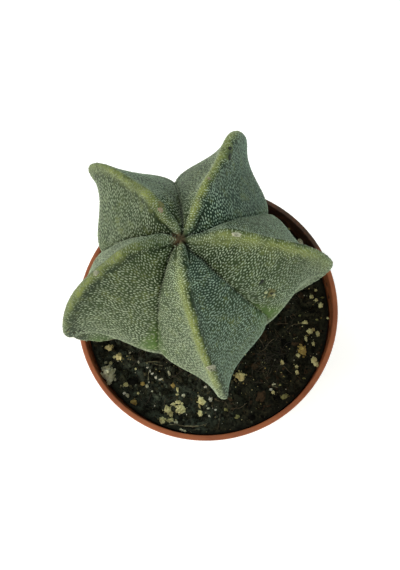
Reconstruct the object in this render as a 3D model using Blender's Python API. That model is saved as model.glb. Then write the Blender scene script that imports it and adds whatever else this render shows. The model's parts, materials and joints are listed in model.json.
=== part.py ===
"""Potted bishop's cap cactus: a five-ribbed stem in peat soil, in a thin round plastic pot.

Metres, +Z up. The origin is the centre of the pot's foot, on the surface that it stands on.
The photograph was taken from above the -Y side.
"""
import math
import random

import bmesh
import bpy
import numpy as np
from mathutils import Matrix, Vector, noise

MM = 0.001
CLEARANCE = 0.3 * MM          # gap that neighbouring pieces keep

# Pot, 85 mm across its rim
POT_HEIGHT = 75 * MM
RIM_RADIUS = 42.5 * MM
WALL = 1.3 * MM
LIP = 1.7 * MM                # the collar is thicker than the wall
FLOOR = 1.6 * MM
COLLAR_HEIGHT = 12 * MM       # the stiffer band below the rim
COLLAR_DRAFT = 0.5 * MM
COLLAR_STEP = 1.8 * MM        # how far the collar stands out of the wall
FOOT_RADIUS = 28.2 * MM
FOOT_CHAMFER = 1.0 * MM
POT_SIDES = 64
DRAIN_SLOTS = 6
DRAIN_WIDTH = 7 * MM
DRAIN_DEPTH = 9 * MM
DRAIN_HEIGHT = 4 * MM

# Soil, measured at the stem; it lies a little higher on the left than on the right
SOIL_LEVEL = POT_HEIGHT - 6 * MM
SOIL_SLOPE = -0.035
SOIL_ROUGHNESS = 0.8 * MM
SOIL_LUMP_SIZE = 7 * MM
SOIL_RINGS = 9
LARGE_GRAINS = (              # place from the pot's axis and size, in millimetres
    (-35.8, -11.6, 4.7), (-31.5, -7.5, 3.0), (-35.0, -3.6, 2.4), (-32.0, -16.0, 2.2), (-27.0, -17.0, 2.2),
    (-31.0, -22.5, 2.7), (-20.5, -28.0, 3.0), (-15.5, -27.5, 3.3), (-17.5, -31.5, 2.8), (-23.0, -30.5, 2.2),
    (-9.0, -28.0, 2.8), (-10.5, -31.5, 2.2), (-16.5, -22.0, 2.0), (5.0, -24.0, 3.7), (17.0, -33.5, 3.0),
    (23.0, -26.0, 2.8), (26.0, -20.5, 3.7), (29.5, -25.0, 3.0), (28.5, -17.0, 2.4), (31.5, -15.0, 3.3),
    (33.5, -18.0, 2.2), (30.0, -11.5, 2.7), (36.0, -5.5, 2.6), (0.5, -35.5, 2.2), (21.0, 33.0, 3.4),
)
SMALL_GRAINS = 30
SMALL_GRAIN_SIZE = (1.4 * MM, 2.4 * MM)
GRAIN_SINK = 0.3              # share of a grain's height below the soil's surface

# Stem
STEM_FOOT = (-0.9 * MM, 6.3 * MM)      # its axis in the pot: it stands a little behind the centre
STEM_HEIGHT = 66 * MM                  # above the soil
RIBS = (                               # azimuth, reach, lift of the tip, spread of the foot, bow, hook
    (-18.0, 40.3, 2.1, 0.0, 0.3, 0.4),
    (55.0, 41.0, 2.5, 0.0, -1.7, -0.9),
    (121.5, 39.7, 5.9, 0.0, -1.6, 0.0),
    (192.0, 41.2, -1.9, 2.4, -2.2, 1.1),
    (268.0, 39.5, -5.3, 0.0, -2.0, 0.4),
)
FURROWS = (                            # the valley after each rib: azimuth, reach, bow
    (18.5, 27.2, -1.6),
    (86.5, 26.1, -1.0),
    (157.0, 26.8, 0.0),
    (234.5, 26.4, -1.6),
    (308.5, 27.2, -2.1),
)
CREST = (      # down a rib's edge: share of its reach, of the height, of the lift and of the spread
    (0.030, 0.945, 0.0, 0.0), (0.106, 0.958, 0.0, 0.0), (0.308, 1.018, 0.0, 0.0), (0.536, 0.946, 0.0, 0.0),
    (0.837, 0.812, 0.5, 0.0), (0.994, 0.616, 1.0, 0.0), (0.968, 0.455, 0.8, 0.2), (0.890, 0.290, 0.4, 0.6),
    (0.800, 0.120, 0.0, 0.9), (0.745, 0.000, 0.0, 1.0), (0.640, -0.075, 0.0, 0.7), (0.430, -0.150, 0.0, 0.0),
    (0.250, -0.215, 0.0, 0.0),
)
VALLEY = (     # down a furrow: share of its reach and of the height
    (0.035, 0.925), (0.112, 0.950), (0.344, 0.912), (0.594, 0.834), (0.832, 0.691), (1.000, 0.572),
    (0.979, 0.400), (0.928, 0.261), (0.880, 0.121), (0.850, 0.000), (0.780, -0.075), (0.570, -0.150),
    (0.375, -0.215),
)
CREST_ROUNDING = ((0, 0.45), (1, 0.95), (2, 1.0), (4, 1.7), (6, 2.1), (12, 2.1))   # at spans of the crest
CREST_WRAP = 77                        # degrees of that rounding on each side
SHOULDER_PULL = 0.41                   # how straight a flank leaves the crest
FURROW_PULL = 0.33                     # how far it swells before the furrow
FURROW_SWELL = 27                      # degrees
CROWN_DIP = 0.930                      # height of the pit at the crown, as a share
ROOT_DEPTH = 0.240
GROUND_SPAN = 8                        # the span of the profiles that reaches the soil

# Woolly areoles along each crest
AREOLE_SPACING = 7.5 * MM
AREOLES_FROM = 12 * MM
AREOLES_TO = 70 * MM
AREOLE_RADIUS = 0.9 * MM
AREOLE_FLATNESS = 0.5
CROWN_WOOL_RADIUS = 1.3 * MM


def clear_scene():
    for obj in list(bpy.data.objects):
        bpy.data.objects.remove(obj)


def srgb(*values):
    """Linear colour of an sRGB one given in 0 to 255."""
    shares = [value / 255 for value in values]
    return [s / 12.92 if s <= 0.04045 else ((s + 0.055) / 1.055) ** 2.4 for s in shares] + [1.0]


def material(name, color, roughness):
    made = bpy.data.materials.new(name)
    made.use_nodes = True
    shader = made.node_tree.nodes["Principled BSDF"]
    shader.inputs["Base Color"].default_value = color
    shader.inputs["Roughness"].default_value = roughness
    shader.inputs["Metallic"].default_value = 0.0
    made.diffuse_color = color
    return made


def object_from(bm, name, finish=None):
    """A scene object that holds the mesh, with its faces pointing out."""
    bmesh.ops.recalc_face_normals(bm, faces=bm.faces)
    mesh = bpy.data.meshes.new(name)
    bm.to_mesh(mesh)
    bm.free()
    obj = bpy.data.objects.new(name, mesh)
    bpy.context.scene.collection.objects.link(obj)
    if finish:
        mesh.materials.append(finish)
    return obj


def smooth(obj, sharp_above=40):
    obj.data.shade_smooth()
    obj.data.set_sharp_from_angle(angle=math.radians(sharp_above))


def cutter(obj):
    obj.hide_render = True
    obj.display_type = "WIRE"
    return obj


def apply_boolean(obj, operation, tool):
    """Joins or cuts with an object or a collection, keeps the result and removes the tool."""
    modifier = obj.modifiers.new("Boolean", "BOOLEAN")
    modifier.operation = operation
    modifier.solver = "EXACT"
    if isinstance(tool, bpy.types.Collection):
        modifier.operand_type = "COLLECTION"
        modifier.collection = tool
        pieces = list(tool.objects)
    else:
        modifier.object = tool
        pieces = [tool]
    with bpy.context.temp_override(object=obj, active_object=obj):
        bpy.ops.object.modifier_apply(modifier=modifier.name)
    for piece in pieces:
        bpy.data.objects.remove(piece)
    if isinstance(tool, bpy.types.Collection):
        bpy.data.collections.remove(tool)


def ring(radius, height, sides=POT_SIDES):
    """Points of a level circle round the pot's axis."""
    turns = [2 * math.pi * i / sides for i in range(sides)]
    return [(radius * math.cos(a), radius * math.sin(a), height) for a in turns]


def loft(bm, rings, first, last):
    """A closed skin over rings of equal counts, closed at its ends by the points first and last."""
    rows = [[bm.verts.new(point) for point in points] for points in rings]
    count = len(rows[0])
    for upper, lower in zip(rows, rows[1:]):
        for i in range(count):
            j = (i + 1) % count
            bm.faces.new((upper[i], lower[i], lower[j], upper[j]))
    for row, tip in ((rows[0], first), (rows[-1], last)):
        end = bm.verts.new(tip)
        for i in range(count):
            bm.faces.new((row[i], row[(i + 1) % count], end))


# Pot

def inner_radius(height, inset=0.0):
    """Radius of the pot's inner wall below the collar, at a height."""
    top = RIM_RADIUS - COLLAR_DRAFT - COLLAR_STEP - WALL
    foot = FOOT_RADIUS + FOOT_CHAMFER - WALL
    share = height / (POT_HEIGHT - COLLAR_HEIGHT)
    return foot + (top - foot) * share - inset


def pot_profile():
    """Half section: up the inside from the middle of the floor, and down the outside."""
    shelf = POT_HEIGHT - COLLAR_HEIGHT
    collar_foot = RIM_RADIUS - COLLAR_DRAFT
    edge = 0.5 * MM
    return [
        (0, FLOOR),
        (inner_radius(0) - FLOOR, FLOOR),
        (inner_radius(2 * FLOOR), 2 * FLOOR),
        (inner_radius(shelf - WALL), shelf - WALL),
        (collar_foot - LIP, shelf + WALL),
        (RIM_RADIUS - LIP, POT_HEIGHT - edge),
        (RIM_RADIUS - LIP + edge, POT_HEIGHT),
        (RIM_RADIUS - edge, POT_HEIGHT),
        (RIM_RADIUS, POT_HEIGHT - edge),
        (collar_foot, shelf),
        (collar_foot - COLLAR_STEP, shelf - edge),
        (FOOT_RADIUS + FOOT_CHAMFER, FOOT_CHAMFER),
        (FOOT_RADIUS, 0),
        (0, 0),
    ]


def drain_cutter():
    """Blocks across the corner of floor and wall, evenly round the foot."""
    bm = bmesh.new()
    size = Matrix.Diagonal((DRAIN_DEPTH, DRAIN_WIDTH, 2 * DRAIN_HEIGHT, 1))
    for i in range(DRAIN_SLOTS):
        turn = Matrix.Rotation(2 * math.pi * (i + 0.5) / DRAIN_SLOTS, 4, "Z")
        place = Matrix.Translation((FOOT_RADIUS, 0, 0))
        bmesh.ops.create_cube(bm, size=1, matrix=turn @ place @ size)
    return cutter(object_from(bm, "drain_cutter"))


def make_pot():
    bm = bmesh.new()
    points = [bm.verts.new((x, 0, z)) for x, z in pot_profile()]
    for a, b in zip(points, points[1:]):
        bm.edges.new((a, b))
    pot = object_from(bm, "pot", material("terracotta_plastic", srgb(150, 84, 56), 0.5))
    turn = pot.modifiers.new("Turn", "SCREW")
    turn.steps = POT_SIDES
    turn.render_steps = POT_SIDES
    turn.use_merge_vertices = True
    turn.merge_threshold = 0.00001
    slots = pot.modifiers.new("Drain slots", "BOOLEAN")
    slots.operation = "DIFFERENCE"
    slots.solver = "EXACT"
    slots.object = drain_cutter()
    return pot


# Stem

def curve_through(points, per_span):
    """Points on a Catmull-Rom curve through the given ones, per_span of them to each span."""
    knots = np.array(points, float)
    spans = len(knots) - 1
    along = np.linspace(0, spans, spans * per_span + 1)
    start = np.minimum(along.astype(int), spans - 1)
    f = along - start
    if knots.ndim > 1:
        f = f[:, None]
    slope = np.gradient(knots, axis=0)
    return ((2 * f**3 - 3 * f**2 + 1) * knots[start] + (f**3 - 2 * f**2 + f) * slope[start]
            + (3 * f**2 - 2 * f**3) * knots[start + 1] + (f**3 - f**2) * slope[start + 1])


def unit(vectors):
    return vectors / np.linalg.norm(vectors, axis=-1, keepdims=True)


def outward_and_side(azimuth):
    a = math.radians(azimuth)
    return np.array((math.cos(a), math.sin(a), 0)), np.array((-math.sin(a), math.cos(a), 0))


def crest_line(rib, per_span, grow):
    """The edge of a rib, from the crown to the root."""
    azimuth, reach, lift, spread, bow, hook = rib
    out, side = outward_and_side(azimuth)
    knots = [(share * reach + spread * spread_share, height * STEM_HEIGHT / MM + lift * lift_share)
             for share, height, lift_share, spread_share in CREST]
    radius, height = curve_through(knots, per_span).T
    share = radius / reach
    sideways = bow * np.sin(math.pi * share) + hook * np.clip((share - 0.7) / 0.3, 0, 1) ** 2
    flat = (radius + grow / MM)[:, None] * out + sideways[:, None] * side
    return (flat + height[:, None] * np.array((0, 0, 1))) * MM


def furrow_line(furrow, per_span, grow):
    azimuth, reach, bow = furrow
    out, side = outward_and_side(azimuth)
    knots = [(share * reach, height * STEM_HEIGHT / MM) for share, height in VALLEY]
    radius, height = curve_through(knots, per_span).T
    sideways = bow * np.sin(math.pi * radius / reach)
    flat = (radius + grow / MM)[:, None] * out + sideways[:, None] * side
    return (flat + height[:, None] * np.array((0, 0, 1))) * MM


def half_rib(crest, azimuth, furrow, sign, cap_steps, flank_steps, rounding):
    """Columns of points from the crest down one flank to its furrow."""
    side = outward_and_side(azimuth)[1]
    run = unit(np.gradient(crest, axis=0))
    up = unit(np.cross(run, side))
    across = unit(np.cross(up, run)) * sign
    core = crest - rounding * up
    columns = []
    for step in range(cap_steps + 1):
        wrap = math.radians(CREST_WRAP) * step / cap_steps
        columns.append(core + rounding * (math.cos(wrap) * up + math.sin(wrap) * across))
    wrap = math.radians(CREST_WRAP)
    leave = math.cos(wrap) * across - math.sin(wrap) * up
    chord = furrow - columns[-1]
    length = np.linalg.norm(chord, axis=1, keepdims=True)
    swell = math.radians(FURROW_SWELL)
    arrive = unit(math.sin(swell) * up - math.cos(swell) * unit(chord))
    a, d = columns[-1], furrow
    b, c = a + leave * length * SHOULDER_PULL, d + arrive * length * FURROW_PULL
    for step in range(1, flank_steps + 1):
        s = step / flank_steps
        columns.append((1 - s)**3 * a + 3 * (1 - s)**2 * s * b + 3 * (1 - s) * s**2 * c + s**3 * d)
    return columns


def stem_rings(cap_steps, flank_steps, per_span, grow=0.0):
    """Rings of points round the ribbed stem from the crown to the root, in the pot's frame."""
    crests = [crest_line(rib, per_span, grow) for rib in RIBS]
    furrows = [furrow_line(furrow, per_span, grow) for furrow in FURROWS]
    steps = len(crests[0])
    spans, radii = zip(*CREST_ROUNDING)
    rounding = np.interp(np.arange(steps) / per_span, spans, radii)[:, None] * MM
    columns = []
    for i, rib in enumerate(RIBS):
        before = half_rib(crests[i], rib[0], furrows[i - 1], -1, cap_steps, flank_steps, rounding)
        after = half_rib(crests[i], rib[0], furrows[i], 1, cap_steps, flank_steps, rounding)
        columns += before[-2:0:-1] + after
    foot = np.array((*STEM_FOOT, SOIL_LEVEL))
    return np.stack(columns, axis=1) + foot


def stem_axis_point(height_share):
    return (*STEM_FOOT, SOIL_LEVEL + height_share * STEM_HEIGHT)


def add_tuft(bm, place, up, radius, flatness, detail):
    """A low woolly cushion, half sunk in the skin."""
    turn = Vector(up).to_track_quat("Z", "Y").to_matrix().to_4x4()
    size = Matrix.Diagonal((radius, radius, radius * flatness, 1))
    bmesh.ops.create_icosphere(bm, subdivisions=detail, radius=1,
                               matrix=Matrix.Translation(place) @ turn @ size)


def tuft_collection():
    """One object for each areole along the crests, and one for the wool at the crown."""
    tufts = bpy.data.collections.new("tufts")
    bpy.context.scene.collection.children.link(tufts)
    spots = [(stem_axis_point(CROWN_DIP), (0, 0, 1), CROWN_WOOL_RADIUS, 2)]
    for rib in RIBS:
        line = crest_line(rib, 12, 0.0) + np.array((*STEM_FOOT, SOIL_LEVEL))
        run = unit(np.gradient(line, axis=0))
        up = unit(np.cross(run, outward_and_side(rib[0])[1]))
        travelled = np.concatenate(([0], np.cumsum(np.linalg.norm(np.diff(line, axis=0), axis=1))))
        for mark in np.arange(AREOLES_FROM, AREOLES_TO, AREOLE_SPACING):
            at = int(np.searchsorted(travelled, mark))
            spots.append((line[at], up[at], AREOLE_RADIUS, 1))
    for place, up, radius, detail in spots:
        bm = bmesh.new()
        add_tuft(bm, place, up, radius, AREOLE_FLATNESS, detail)
        tuft = object_from(bm, "tuft")
        bpy.context.scene.collection.objects.unlink(tuft)
        tufts.objects.link(tuft)
    return tufts


def make_stem():
    bm = bmesh.new()
    loft(bm, stem_rings(cap_steps=2, flank_steps=6, per_span=4),
         stem_axis_point(CROWN_DIP), stem_axis_point(-ROOT_DEPTH))
    stem = object_from(bm, "stem", material("flecked_skin", srgb(112, 125, 104), 0.75))
    apply_boolean(stem, "UNION", tuft_collection())
    smooth(stem)
    return stem


def stem_hole():
    """The stem's lower end, a little larger all round, for the hole that it stands in."""
    per_span = 2
    rings = stem_rings(cap_steps=2, flank_steps=4, per_span=per_span, grow=0.5 * MM)
    rings = rings[GROUND_SPAN * per_span:]
    rings[-1, :, 2] -= CLEARANCE
    bm = bmesh.new()
    loft(bm, rings, stem_axis_point(CREST[GROUND_SPAN][1]),
         Vector(stem_axis_point(-ROOT_DEPTH)) - Vector((0, 0, CLEARANCE)))
    return cutter(object_from(bm, "stem_hole"))


# Soil

def soil_height(x, y):
    """Level of the soil's rough surface at a place in the pot."""
    lumps = noise.noise(Vector((x, y, 0)) / SOIL_LUMP_SIZE)
    crumbs = noise.noise(Vector((x, y, 9)) / SOIL_LUMP_SIZE * 2.3)
    return SOIL_LEVEL + SOIL_SLOPE * x + SOIL_ROUGHNESS * (lumps + 0.5 * crumbs)


def soil_rings():
    """From the middle of the top out to the wall, and down the wall to the floor."""
    shelf = POT_HEIGHT - COLLAR_HEIGHT
    rim = RIM_RADIUS - COLLAR_DRAFT - LIP - CLEARANCE
    inner, outer = 14 * MM, rim
    rings = []
    for i in range(SOIL_RINGS):
        radius = inner + (outer - inner) * i / (SOIL_RINGS - 1)
        rings.append([(x, y, soil_height(x, y)) for x, y, z in ring(radius, 0)])
    rings.append(ring(rim, shelf + WALL + CLEARANCE))
    rings.append(ring(inner_radius(shelf - WALL, CLEARANCE), shelf - WALL))
    rings.append(ring(inner_radius(2 * FLOOR, 2 * CLEARANCE), 2 * FLOOR + CLEARANCE))
    rings.append(ring(inner_radius(0) - FLOOR - CLEARANCE, FLOOR + CLEARANCE))
    return rings


def add_grain(grains, draw, x, y, size):
    """An angular mineral grain, partly sunk in the soil."""
    bm = bmesh.new()
    bmesh.ops.create_icosphere(bm, subdivisions=1, radius=size / 2)
    for vert in bm.verts:
        vert.co *= draw.uniform(0.82, 1.12)
    height = soil_height(x, y) + size * (0.5 - GRAIN_SINK) * 0.7
    turn = Matrix.Rotation(draw.uniform(0, 2 * math.pi), 4, "Z")
    squash = Matrix.Diagonal((draw.uniform(0.8, 1.1), draw.uniform(0.8, 1.1), 0.7, 1))
    bmesh.ops.transform(bm, matrix=Matrix.Translation((x, y, height)) @ turn @ squash, verts=bm.verts)
    grain = object_from(bm, "grain")
    bpy.context.scene.collection.objects.unlink(grain)
    grains.objects.link(grain)


def grain_collection():
    grains = bpy.data.collections.new("grains")
    bpy.context.scene.collection.children.link(grains)
    draw = random.Random(7)
    placed = []
    for x, y, size in LARGE_GRAINS:
        placed.append((x * MM, y * MM, size * MM))
    wall = RIM_RADIUS - COLLAR_DRAFT - LIP
    while len(placed) < len(LARGE_GRAINS) + SMALL_GRAINS:
        a = draw.uniform(0, 2 * math.pi)
        distance = draw.uniform(24 * MM, wall)
        size = draw.uniform(*SMALL_GRAIN_SIZE)
        x, y = distance * math.cos(a), distance * math.sin(a)
        apart = all(math.hypot(x - u, y - v) > 0.6 * (size + s) for u, v, s in placed)
        if apart and distance + 0.65 * size < wall - CLEARANCE:
            placed.append((x, y, size))
    for x, y, size in placed:
        add_grain(grains, draw, x, y, size)
    return grains


def make_soil():
    bm = bmesh.new()
    loft(bm, soil_rings(), (0, 0, SOIL_LEVEL), (0, 0, FLOOR + CLEARANCE))
    soil = object_from(bm, "soil", material("peat_soil", srgb(48, 38, 30), 0.95))
    apply_boolean(soil, "UNION", grain_collection())
    apply_boolean(soil, "DIFFERENCE", stem_hole())
    smooth(soil)
    return soil


clear_scene()
smooth(make_pot())
make_soil()
make_stem()
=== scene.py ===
import json
import math
import random

import bmesh
import bpy
import numpy as np
from mathutils import Matrix, Vector, kdtree, noise

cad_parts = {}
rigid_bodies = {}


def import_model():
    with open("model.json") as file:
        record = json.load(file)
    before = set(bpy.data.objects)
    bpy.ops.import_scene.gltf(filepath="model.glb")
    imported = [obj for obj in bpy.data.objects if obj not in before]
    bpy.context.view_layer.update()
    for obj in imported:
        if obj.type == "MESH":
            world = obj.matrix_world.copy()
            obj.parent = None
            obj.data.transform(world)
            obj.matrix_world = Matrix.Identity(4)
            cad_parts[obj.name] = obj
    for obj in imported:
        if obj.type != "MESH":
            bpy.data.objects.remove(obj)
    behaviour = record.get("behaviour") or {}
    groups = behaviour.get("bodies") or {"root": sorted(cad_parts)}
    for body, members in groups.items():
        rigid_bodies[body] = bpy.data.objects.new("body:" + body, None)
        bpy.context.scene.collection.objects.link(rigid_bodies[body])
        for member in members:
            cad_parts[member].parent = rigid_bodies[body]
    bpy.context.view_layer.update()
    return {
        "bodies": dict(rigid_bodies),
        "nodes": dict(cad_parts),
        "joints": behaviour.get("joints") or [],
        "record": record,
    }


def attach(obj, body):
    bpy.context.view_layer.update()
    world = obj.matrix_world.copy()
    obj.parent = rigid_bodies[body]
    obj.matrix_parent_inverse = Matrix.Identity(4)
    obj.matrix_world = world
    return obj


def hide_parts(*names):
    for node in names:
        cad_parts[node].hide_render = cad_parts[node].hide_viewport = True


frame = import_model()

# Pot: a thin round nursery pot, injection moulded in one piece from terracotta coloured polypropylene.
# Its wall tapers so that pots stack, a stiffer collar carries the rolled rim, and water leaves through
# six slots in the corner of foot and wall.
MM = 0.001
POT_HEIGHT = 75 * MM
RIM_RADIUS = 42.5 * MM
POT_WALL = 1.3 * MM
LIP_WIDTH = 1.7 * MM
COLLAR_FOOT = 63 * MM            # height at which the collar starts
COLLAR_DRAFT = 1.0 * MM
COLLAR_STEP = 1.3 * MM           # how far it stands out of the wall
BORE_RADIUS = 40.3 * MM          # inside, at the collar's foot
POT_FOOT_RADIUS = 28.2 * MM
POT_FLOOR = 1.6 * MM
POT_SIDES = 144
DRAIN_SLOTS = 6
SLOT_SIZE = (9 * MM, 7 * MM, 8 * MM)         # of the block that cuts each
SLOT_ROUNDING = 1.2 * MM
TERRACOTTA = (152, 88, 56)
TERRACOTTA_DARK = (131, 72, 46)
LIME_DUST = (176, 128, 104)
PEAT_STAIN_AND_SHADE = (30, 20, 15)
PEAT_DUST_AND_SHADOW = (68, 52, 42)
DUST_AND_SHADOW_SPOT = (36 * MM, 22 * MM, 73 * MM)     # where peat dust lies on the rim, and the plant's shadow on it is painted


def srgb(color):
    """Linear colour of an sRGB one given in 0 to 255."""
    shares = [value / 255 for value in color]
    return [s / 12.92 if s <= 0.04045 else ((s + 0.055) / 1.055) ** 2.4 for s in shares] + [1.0]


def node(tree, kind, inputs=(), **settings):
    """A shader node with its settings, and with its sockets set or linked by name or number."""
    made = tree.nodes.new(kind)
    for name, value in settings.items():
        setattr(made, name, value)
    for key, value in dict(inputs).items():
        if isinstance(value, bpy.types.NodeSocket):
            tree.links.new(value, made.inputs[key])
        else:
            made.inputs[key].default_value = value
    return made


def new_material(name, roughness):
    """A material, its node tree, its shader and the place on the piece that its patterns follow."""
    made = bpy.data.materials.new(name)
    made.use_nodes = True
    tree = made.node_tree
    shader = tree.nodes["Principled BSDF"]
    shader.inputs["Roughness"].default_value = roughness
    return made, tree, shader, node(tree, "ShaderNodeTexCoord").outputs["Object"]


def blotches(tree, vector, size, detail=3.0, roughness=0.55, distortion=0.0):
    """Noise whose blotches are about the given size across."""
    return node(tree, "ShaderNodeTexNoise", {"Vector": vector, "Scale": 1 / size, "Detail": detail,
                                             "Roughness": roughness, "Distortion": distortion}).outputs["Fac"]


def ramp(tree, factor, low, high, to_low=0.0, to_high=1.0):
    """The factor stretched from the range low to high onto another one, and clamped to it."""
    return node(tree, "ShaderNodeMapRange", {"Value": factor, "From Min": low, "From Max": high,
                                             "To Min": to_low, "To Max": to_high}).outputs["Result"]


def blend(tree, factor, a, b, mode="MIX"):
    """A mix of two colours, each given in sRGB or as a socket."""
    mix = node(tree, "ShaderNodeMix", data_type="RGBA", blend_type=mode)
    for key, value in ((0, factor), (6, a), (7, b)):
        if isinstance(value, bpy.types.NodeSocket):
            tree.links.new(value, mix.inputs[key])
        elif key:
            mix.inputs[key].default_value = srgb(value)
        else:
            mix.inputs[key].default_value = value
    return mix.outputs[2]


def times(tree, a, b, operation="MULTIPLY"):
    """The product of two factors, or what another operation makes of them."""
    return node(tree, "ShaderNodeMath", {0: a, 1: b}, operation=operation).outputs[0]


def off_axis(tree, place):
    """Distance from the pot's axis."""
    level = node(tree, "ShaderNodeVectorMath", {0: place, 1: (1, 1, 0)}, operation="MULTIPLY").outputs[0]
    return node(tree, "ShaderNodeVectorMath", {0: level}, operation="LENGTH").outputs["Value"]


def away_from(tree, place, spot):
    """Distance from a spot on the plant."""
    return node(tree, "ShaderNodeVectorMath", {0: place, 1: spot}, operation="DISTANCE").outputs["Value"]


def painted(tree, shader, color, shine=0.5):
    """Gives the surface its colour and how much of the light it mirrors."""
    tree.links.new(color, shader.inputs["Base Color"])
    shader.inputs["Specular IOR Level"].default_value = shine


def relief(tree, shader, place, size, depth, detail=3.0, roughness=0.7):
    """Blotchy bumps of a size across and a real depth, both in metres."""
    height = blotches(tree, place, size, detail, roughness)
    bump = node(tree, "ShaderNodeBump", {"Height": height, "Distance": depth, "Strength": 1.0})
    tree.links.new(bump.outputs["Normal"], shader.inputs["Normal"])


def alone(obj):
    """Makes an object the only selected and the active one."""
    bpy.ops.object.select_all(action="DESELECT")
    obj.select_set(True)
    bpy.context.view_layer.objects.active = obj
    return obj


def added(name, primitive, **settings):
    """A new primitive, the only one selected, with its place in its mesh."""
    bpy.ops.object.select_all(action="DESELECT")
    primitive(**settings)
    obj = bpy.context.object
    obj.name = name
    obj.data.name = name
    bpy.ops.object.transform_apply(location=True, rotation=True, scale=True)
    return alone(obj)


def edit_all():
    """Opens the active piece for changes to its mesh, with all of it selected."""
    bpy.ops.object.mode_set(mode="EDIT")
    bpy.ops.mesh.select_all(action="SELECT")


def edit_done(even_normals=True):
    """Ends the changes; its faces are first turned to look outward, unless they do already."""
    if even_normals:
        bpy.ops.mesh.select_all(action="SELECT")
        bpy.ops.mesh.normals_make_consistent(inside=False)
    bpy.ops.object.mode_set(mode="OBJECT")


def sharper_than(degrees):
    """Smooths the active piece, apart from its edges that are sharper than an angle."""
    bpy.ops.object.shade_smooth_by_angle(angle=math.radians(degrees))


def drawn_out(radius, height, next_radius, next_height):
    """Extrudes the selected ring of a round piece to its next station."""
    bpy.ops.mesh.extrude_region_move(TRANSFORM_OT_translate={"value": (0, 0, next_height - height)})
    widen = next_radius / radius
    bpy.ops.transform.resize(value=(widen, widen, 1), center_override=(0, 0, next_height))


def apply_all(obj):
    alone(obj)
    for modifier in list(obj.modifiers):
        bpy.ops.object.modifier_apply(modifier=modifier.name)


def settle(obj, slot, material, *nodes):
    """A finished piece: its place goes into its mesh, and it rides on the plant's one body."""
    alone(obj)
    bpy.ops.object.transform_apply(location=True, rotation=True, scale=True)
    obj.data.materials.clear()
    obj.data.materials.append(material)
    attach(obj, "root")
    if nodes:
        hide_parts(*nodes)


def arc(radius, height, size, start, end, steps):
    """Stations of a rounded edge in the pot's half section, by turn in degrees."""
    turns = [math.radians(start + (end - start) * i / steps) for i in range(steps + 1)]
    return [(radius + size * math.cos(a), height + size * math.sin(a)) for a in turns]


collar_radius = RIM_RADIUS - COLLAR_DRAFT
inner_top = collar_radius - COLLAR_STEP - POT_WALL
pot_stations = [
    (POT_FOOT_RADIUS - 3.2 * MM, 0.7 * MM),
    (POT_FOOT_RADIUS - 2.7 * MM, 0.0),
    (POT_FOOT_RADIUS, 0.0),
    (POT_FOOT_RADIUS + 0.7 * MM, 0.3 * MM),
    (POT_FOOT_RADIUS + 1.0 * MM, 1.0 * MM),
    (collar_radius - COLLAR_STEP - 0.1 * MM, COLLAR_FOOT - 1.2 * MM),
    (collar_radius - COLLAR_STEP + 0.2 * MM, COLLAR_FOOT - 0.5 * MM),
    *arc(collar_radius - 0.4 * MM, COLLAR_FOOT + 0.3 * MM, 0.4 * MM, -90, 0, 3),
    *arc(RIM_RADIUS - 0.5 * MM, POT_HEIGHT - 0.5 * MM, 0.5 * MM, 0, 80, 4),
    *arc(RIM_RADIUS - LIP_WIDTH + 0.35 * MM, POT_HEIGHT - 0.35 * MM, 0.35 * MM, 90, 180, 4),
    (BORE_RADIUS, COLLAR_FOOT + 1.3 * MM),
    (inner_top, COLLAR_FOOT - 1.0 * MM),
    (POT_FOOT_RADIUS + 0.2 * MM, 3.2 * MM),
    (POT_FOOT_RADIUS - 1.9 * MM, POT_FLOOR),
]
first_radius, first_height = pot_stations[0]
pot = added("nursery_pot", bpy.ops.mesh.primitive_circle_add, vertices=POT_SIDES, radius=first_radius,
            fill_type="NGON", location=(0, 0, first_height))
edit_all()
for station, next_station in zip(pot_stations, pot_stations[1:]):
    drawn_out(*station, *next_station)
edit_done()

slots = []
for i in range(DRAIN_SLOTS):
    turn = 2 * math.pi * (i + 0.5) / DRAIN_SLOTS
    place = (POT_FOOT_RADIUS * math.cos(turn), POT_FOOT_RADIUS * math.sin(turn), 0)
    slots.append(added("drain_block", bpy.ops.mesh.primitive_cube_add, size=1, scale=SLOT_SIZE,
                       rotation=(0, 0, turn), location=place))
for block in slots:
    block.select_set(True)
bpy.ops.object.join()
block = bpy.context.object
rounding = block.modifiers.new("Rounding", "BEVEL")
rounding.width = SLOT_ROUNDING
rounding.segments = 3
apply_all(block)
cut = pot.modifiers.new("Slots", "BOOLEAN")
cut.object = block
cut.solver = "EXACT"
apply_all(pot)
bpy.data.objects.remove(block)
alone(pot)
sharper_than(35)

plastic, tree, shader, place = new_material("moulded_terracotta_plastic", 0.45)
height = node(tree, "ShaderNodeSeparateXYZ", {0: place}).outputs["Z"]
streaked = node(tree, "ShaderNodeMapping", {"Vector": place, "Scale": (1, 1, 0.12)}).outputs[0]
color = blend(tree, ramp(tree, blotches(tree, place, 9 * MM), 0.35, 0.7), TERRACOTTA, TERRACOTTA_DARK)
chalk = times(tree, ramp(tree, blotches(tree, streaked, 3 * MM, 5.0, 0.7), 0.5, 0.8, 0, 0.55),
              ramp(tree, height, 30 * MM, 2 * MM, 0.25, 1.0))
color = blend(tree, chalk, color, LIME_DUST)
inner_wall = times(tree, ramp(tree, off_axis(tree, place), RIM_RADIUS - 1.2 * MM, RIM_RADIUS - 1.6 * MM),
                   ramp(tree, height, COLLAR_FOOT, COLLAR_FOOT + 1 * MM))
# Inner wall: peat stain in blotches, and painted shade that grows darker towards the soil
stain_and_shade = times(tree, ramp(tree, blotches(tree, place, 2.5 * MM, 5.0, 0.65), 0.46, 0.62, 0, 0.9),
              ramp(tree, height, 73.5 * MM, 70.5 * MM))
color = blend(tree, times(tree, stain_and_shade, inner_wall), color, PEAT_STAIN_AND_SHADE)
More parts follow.
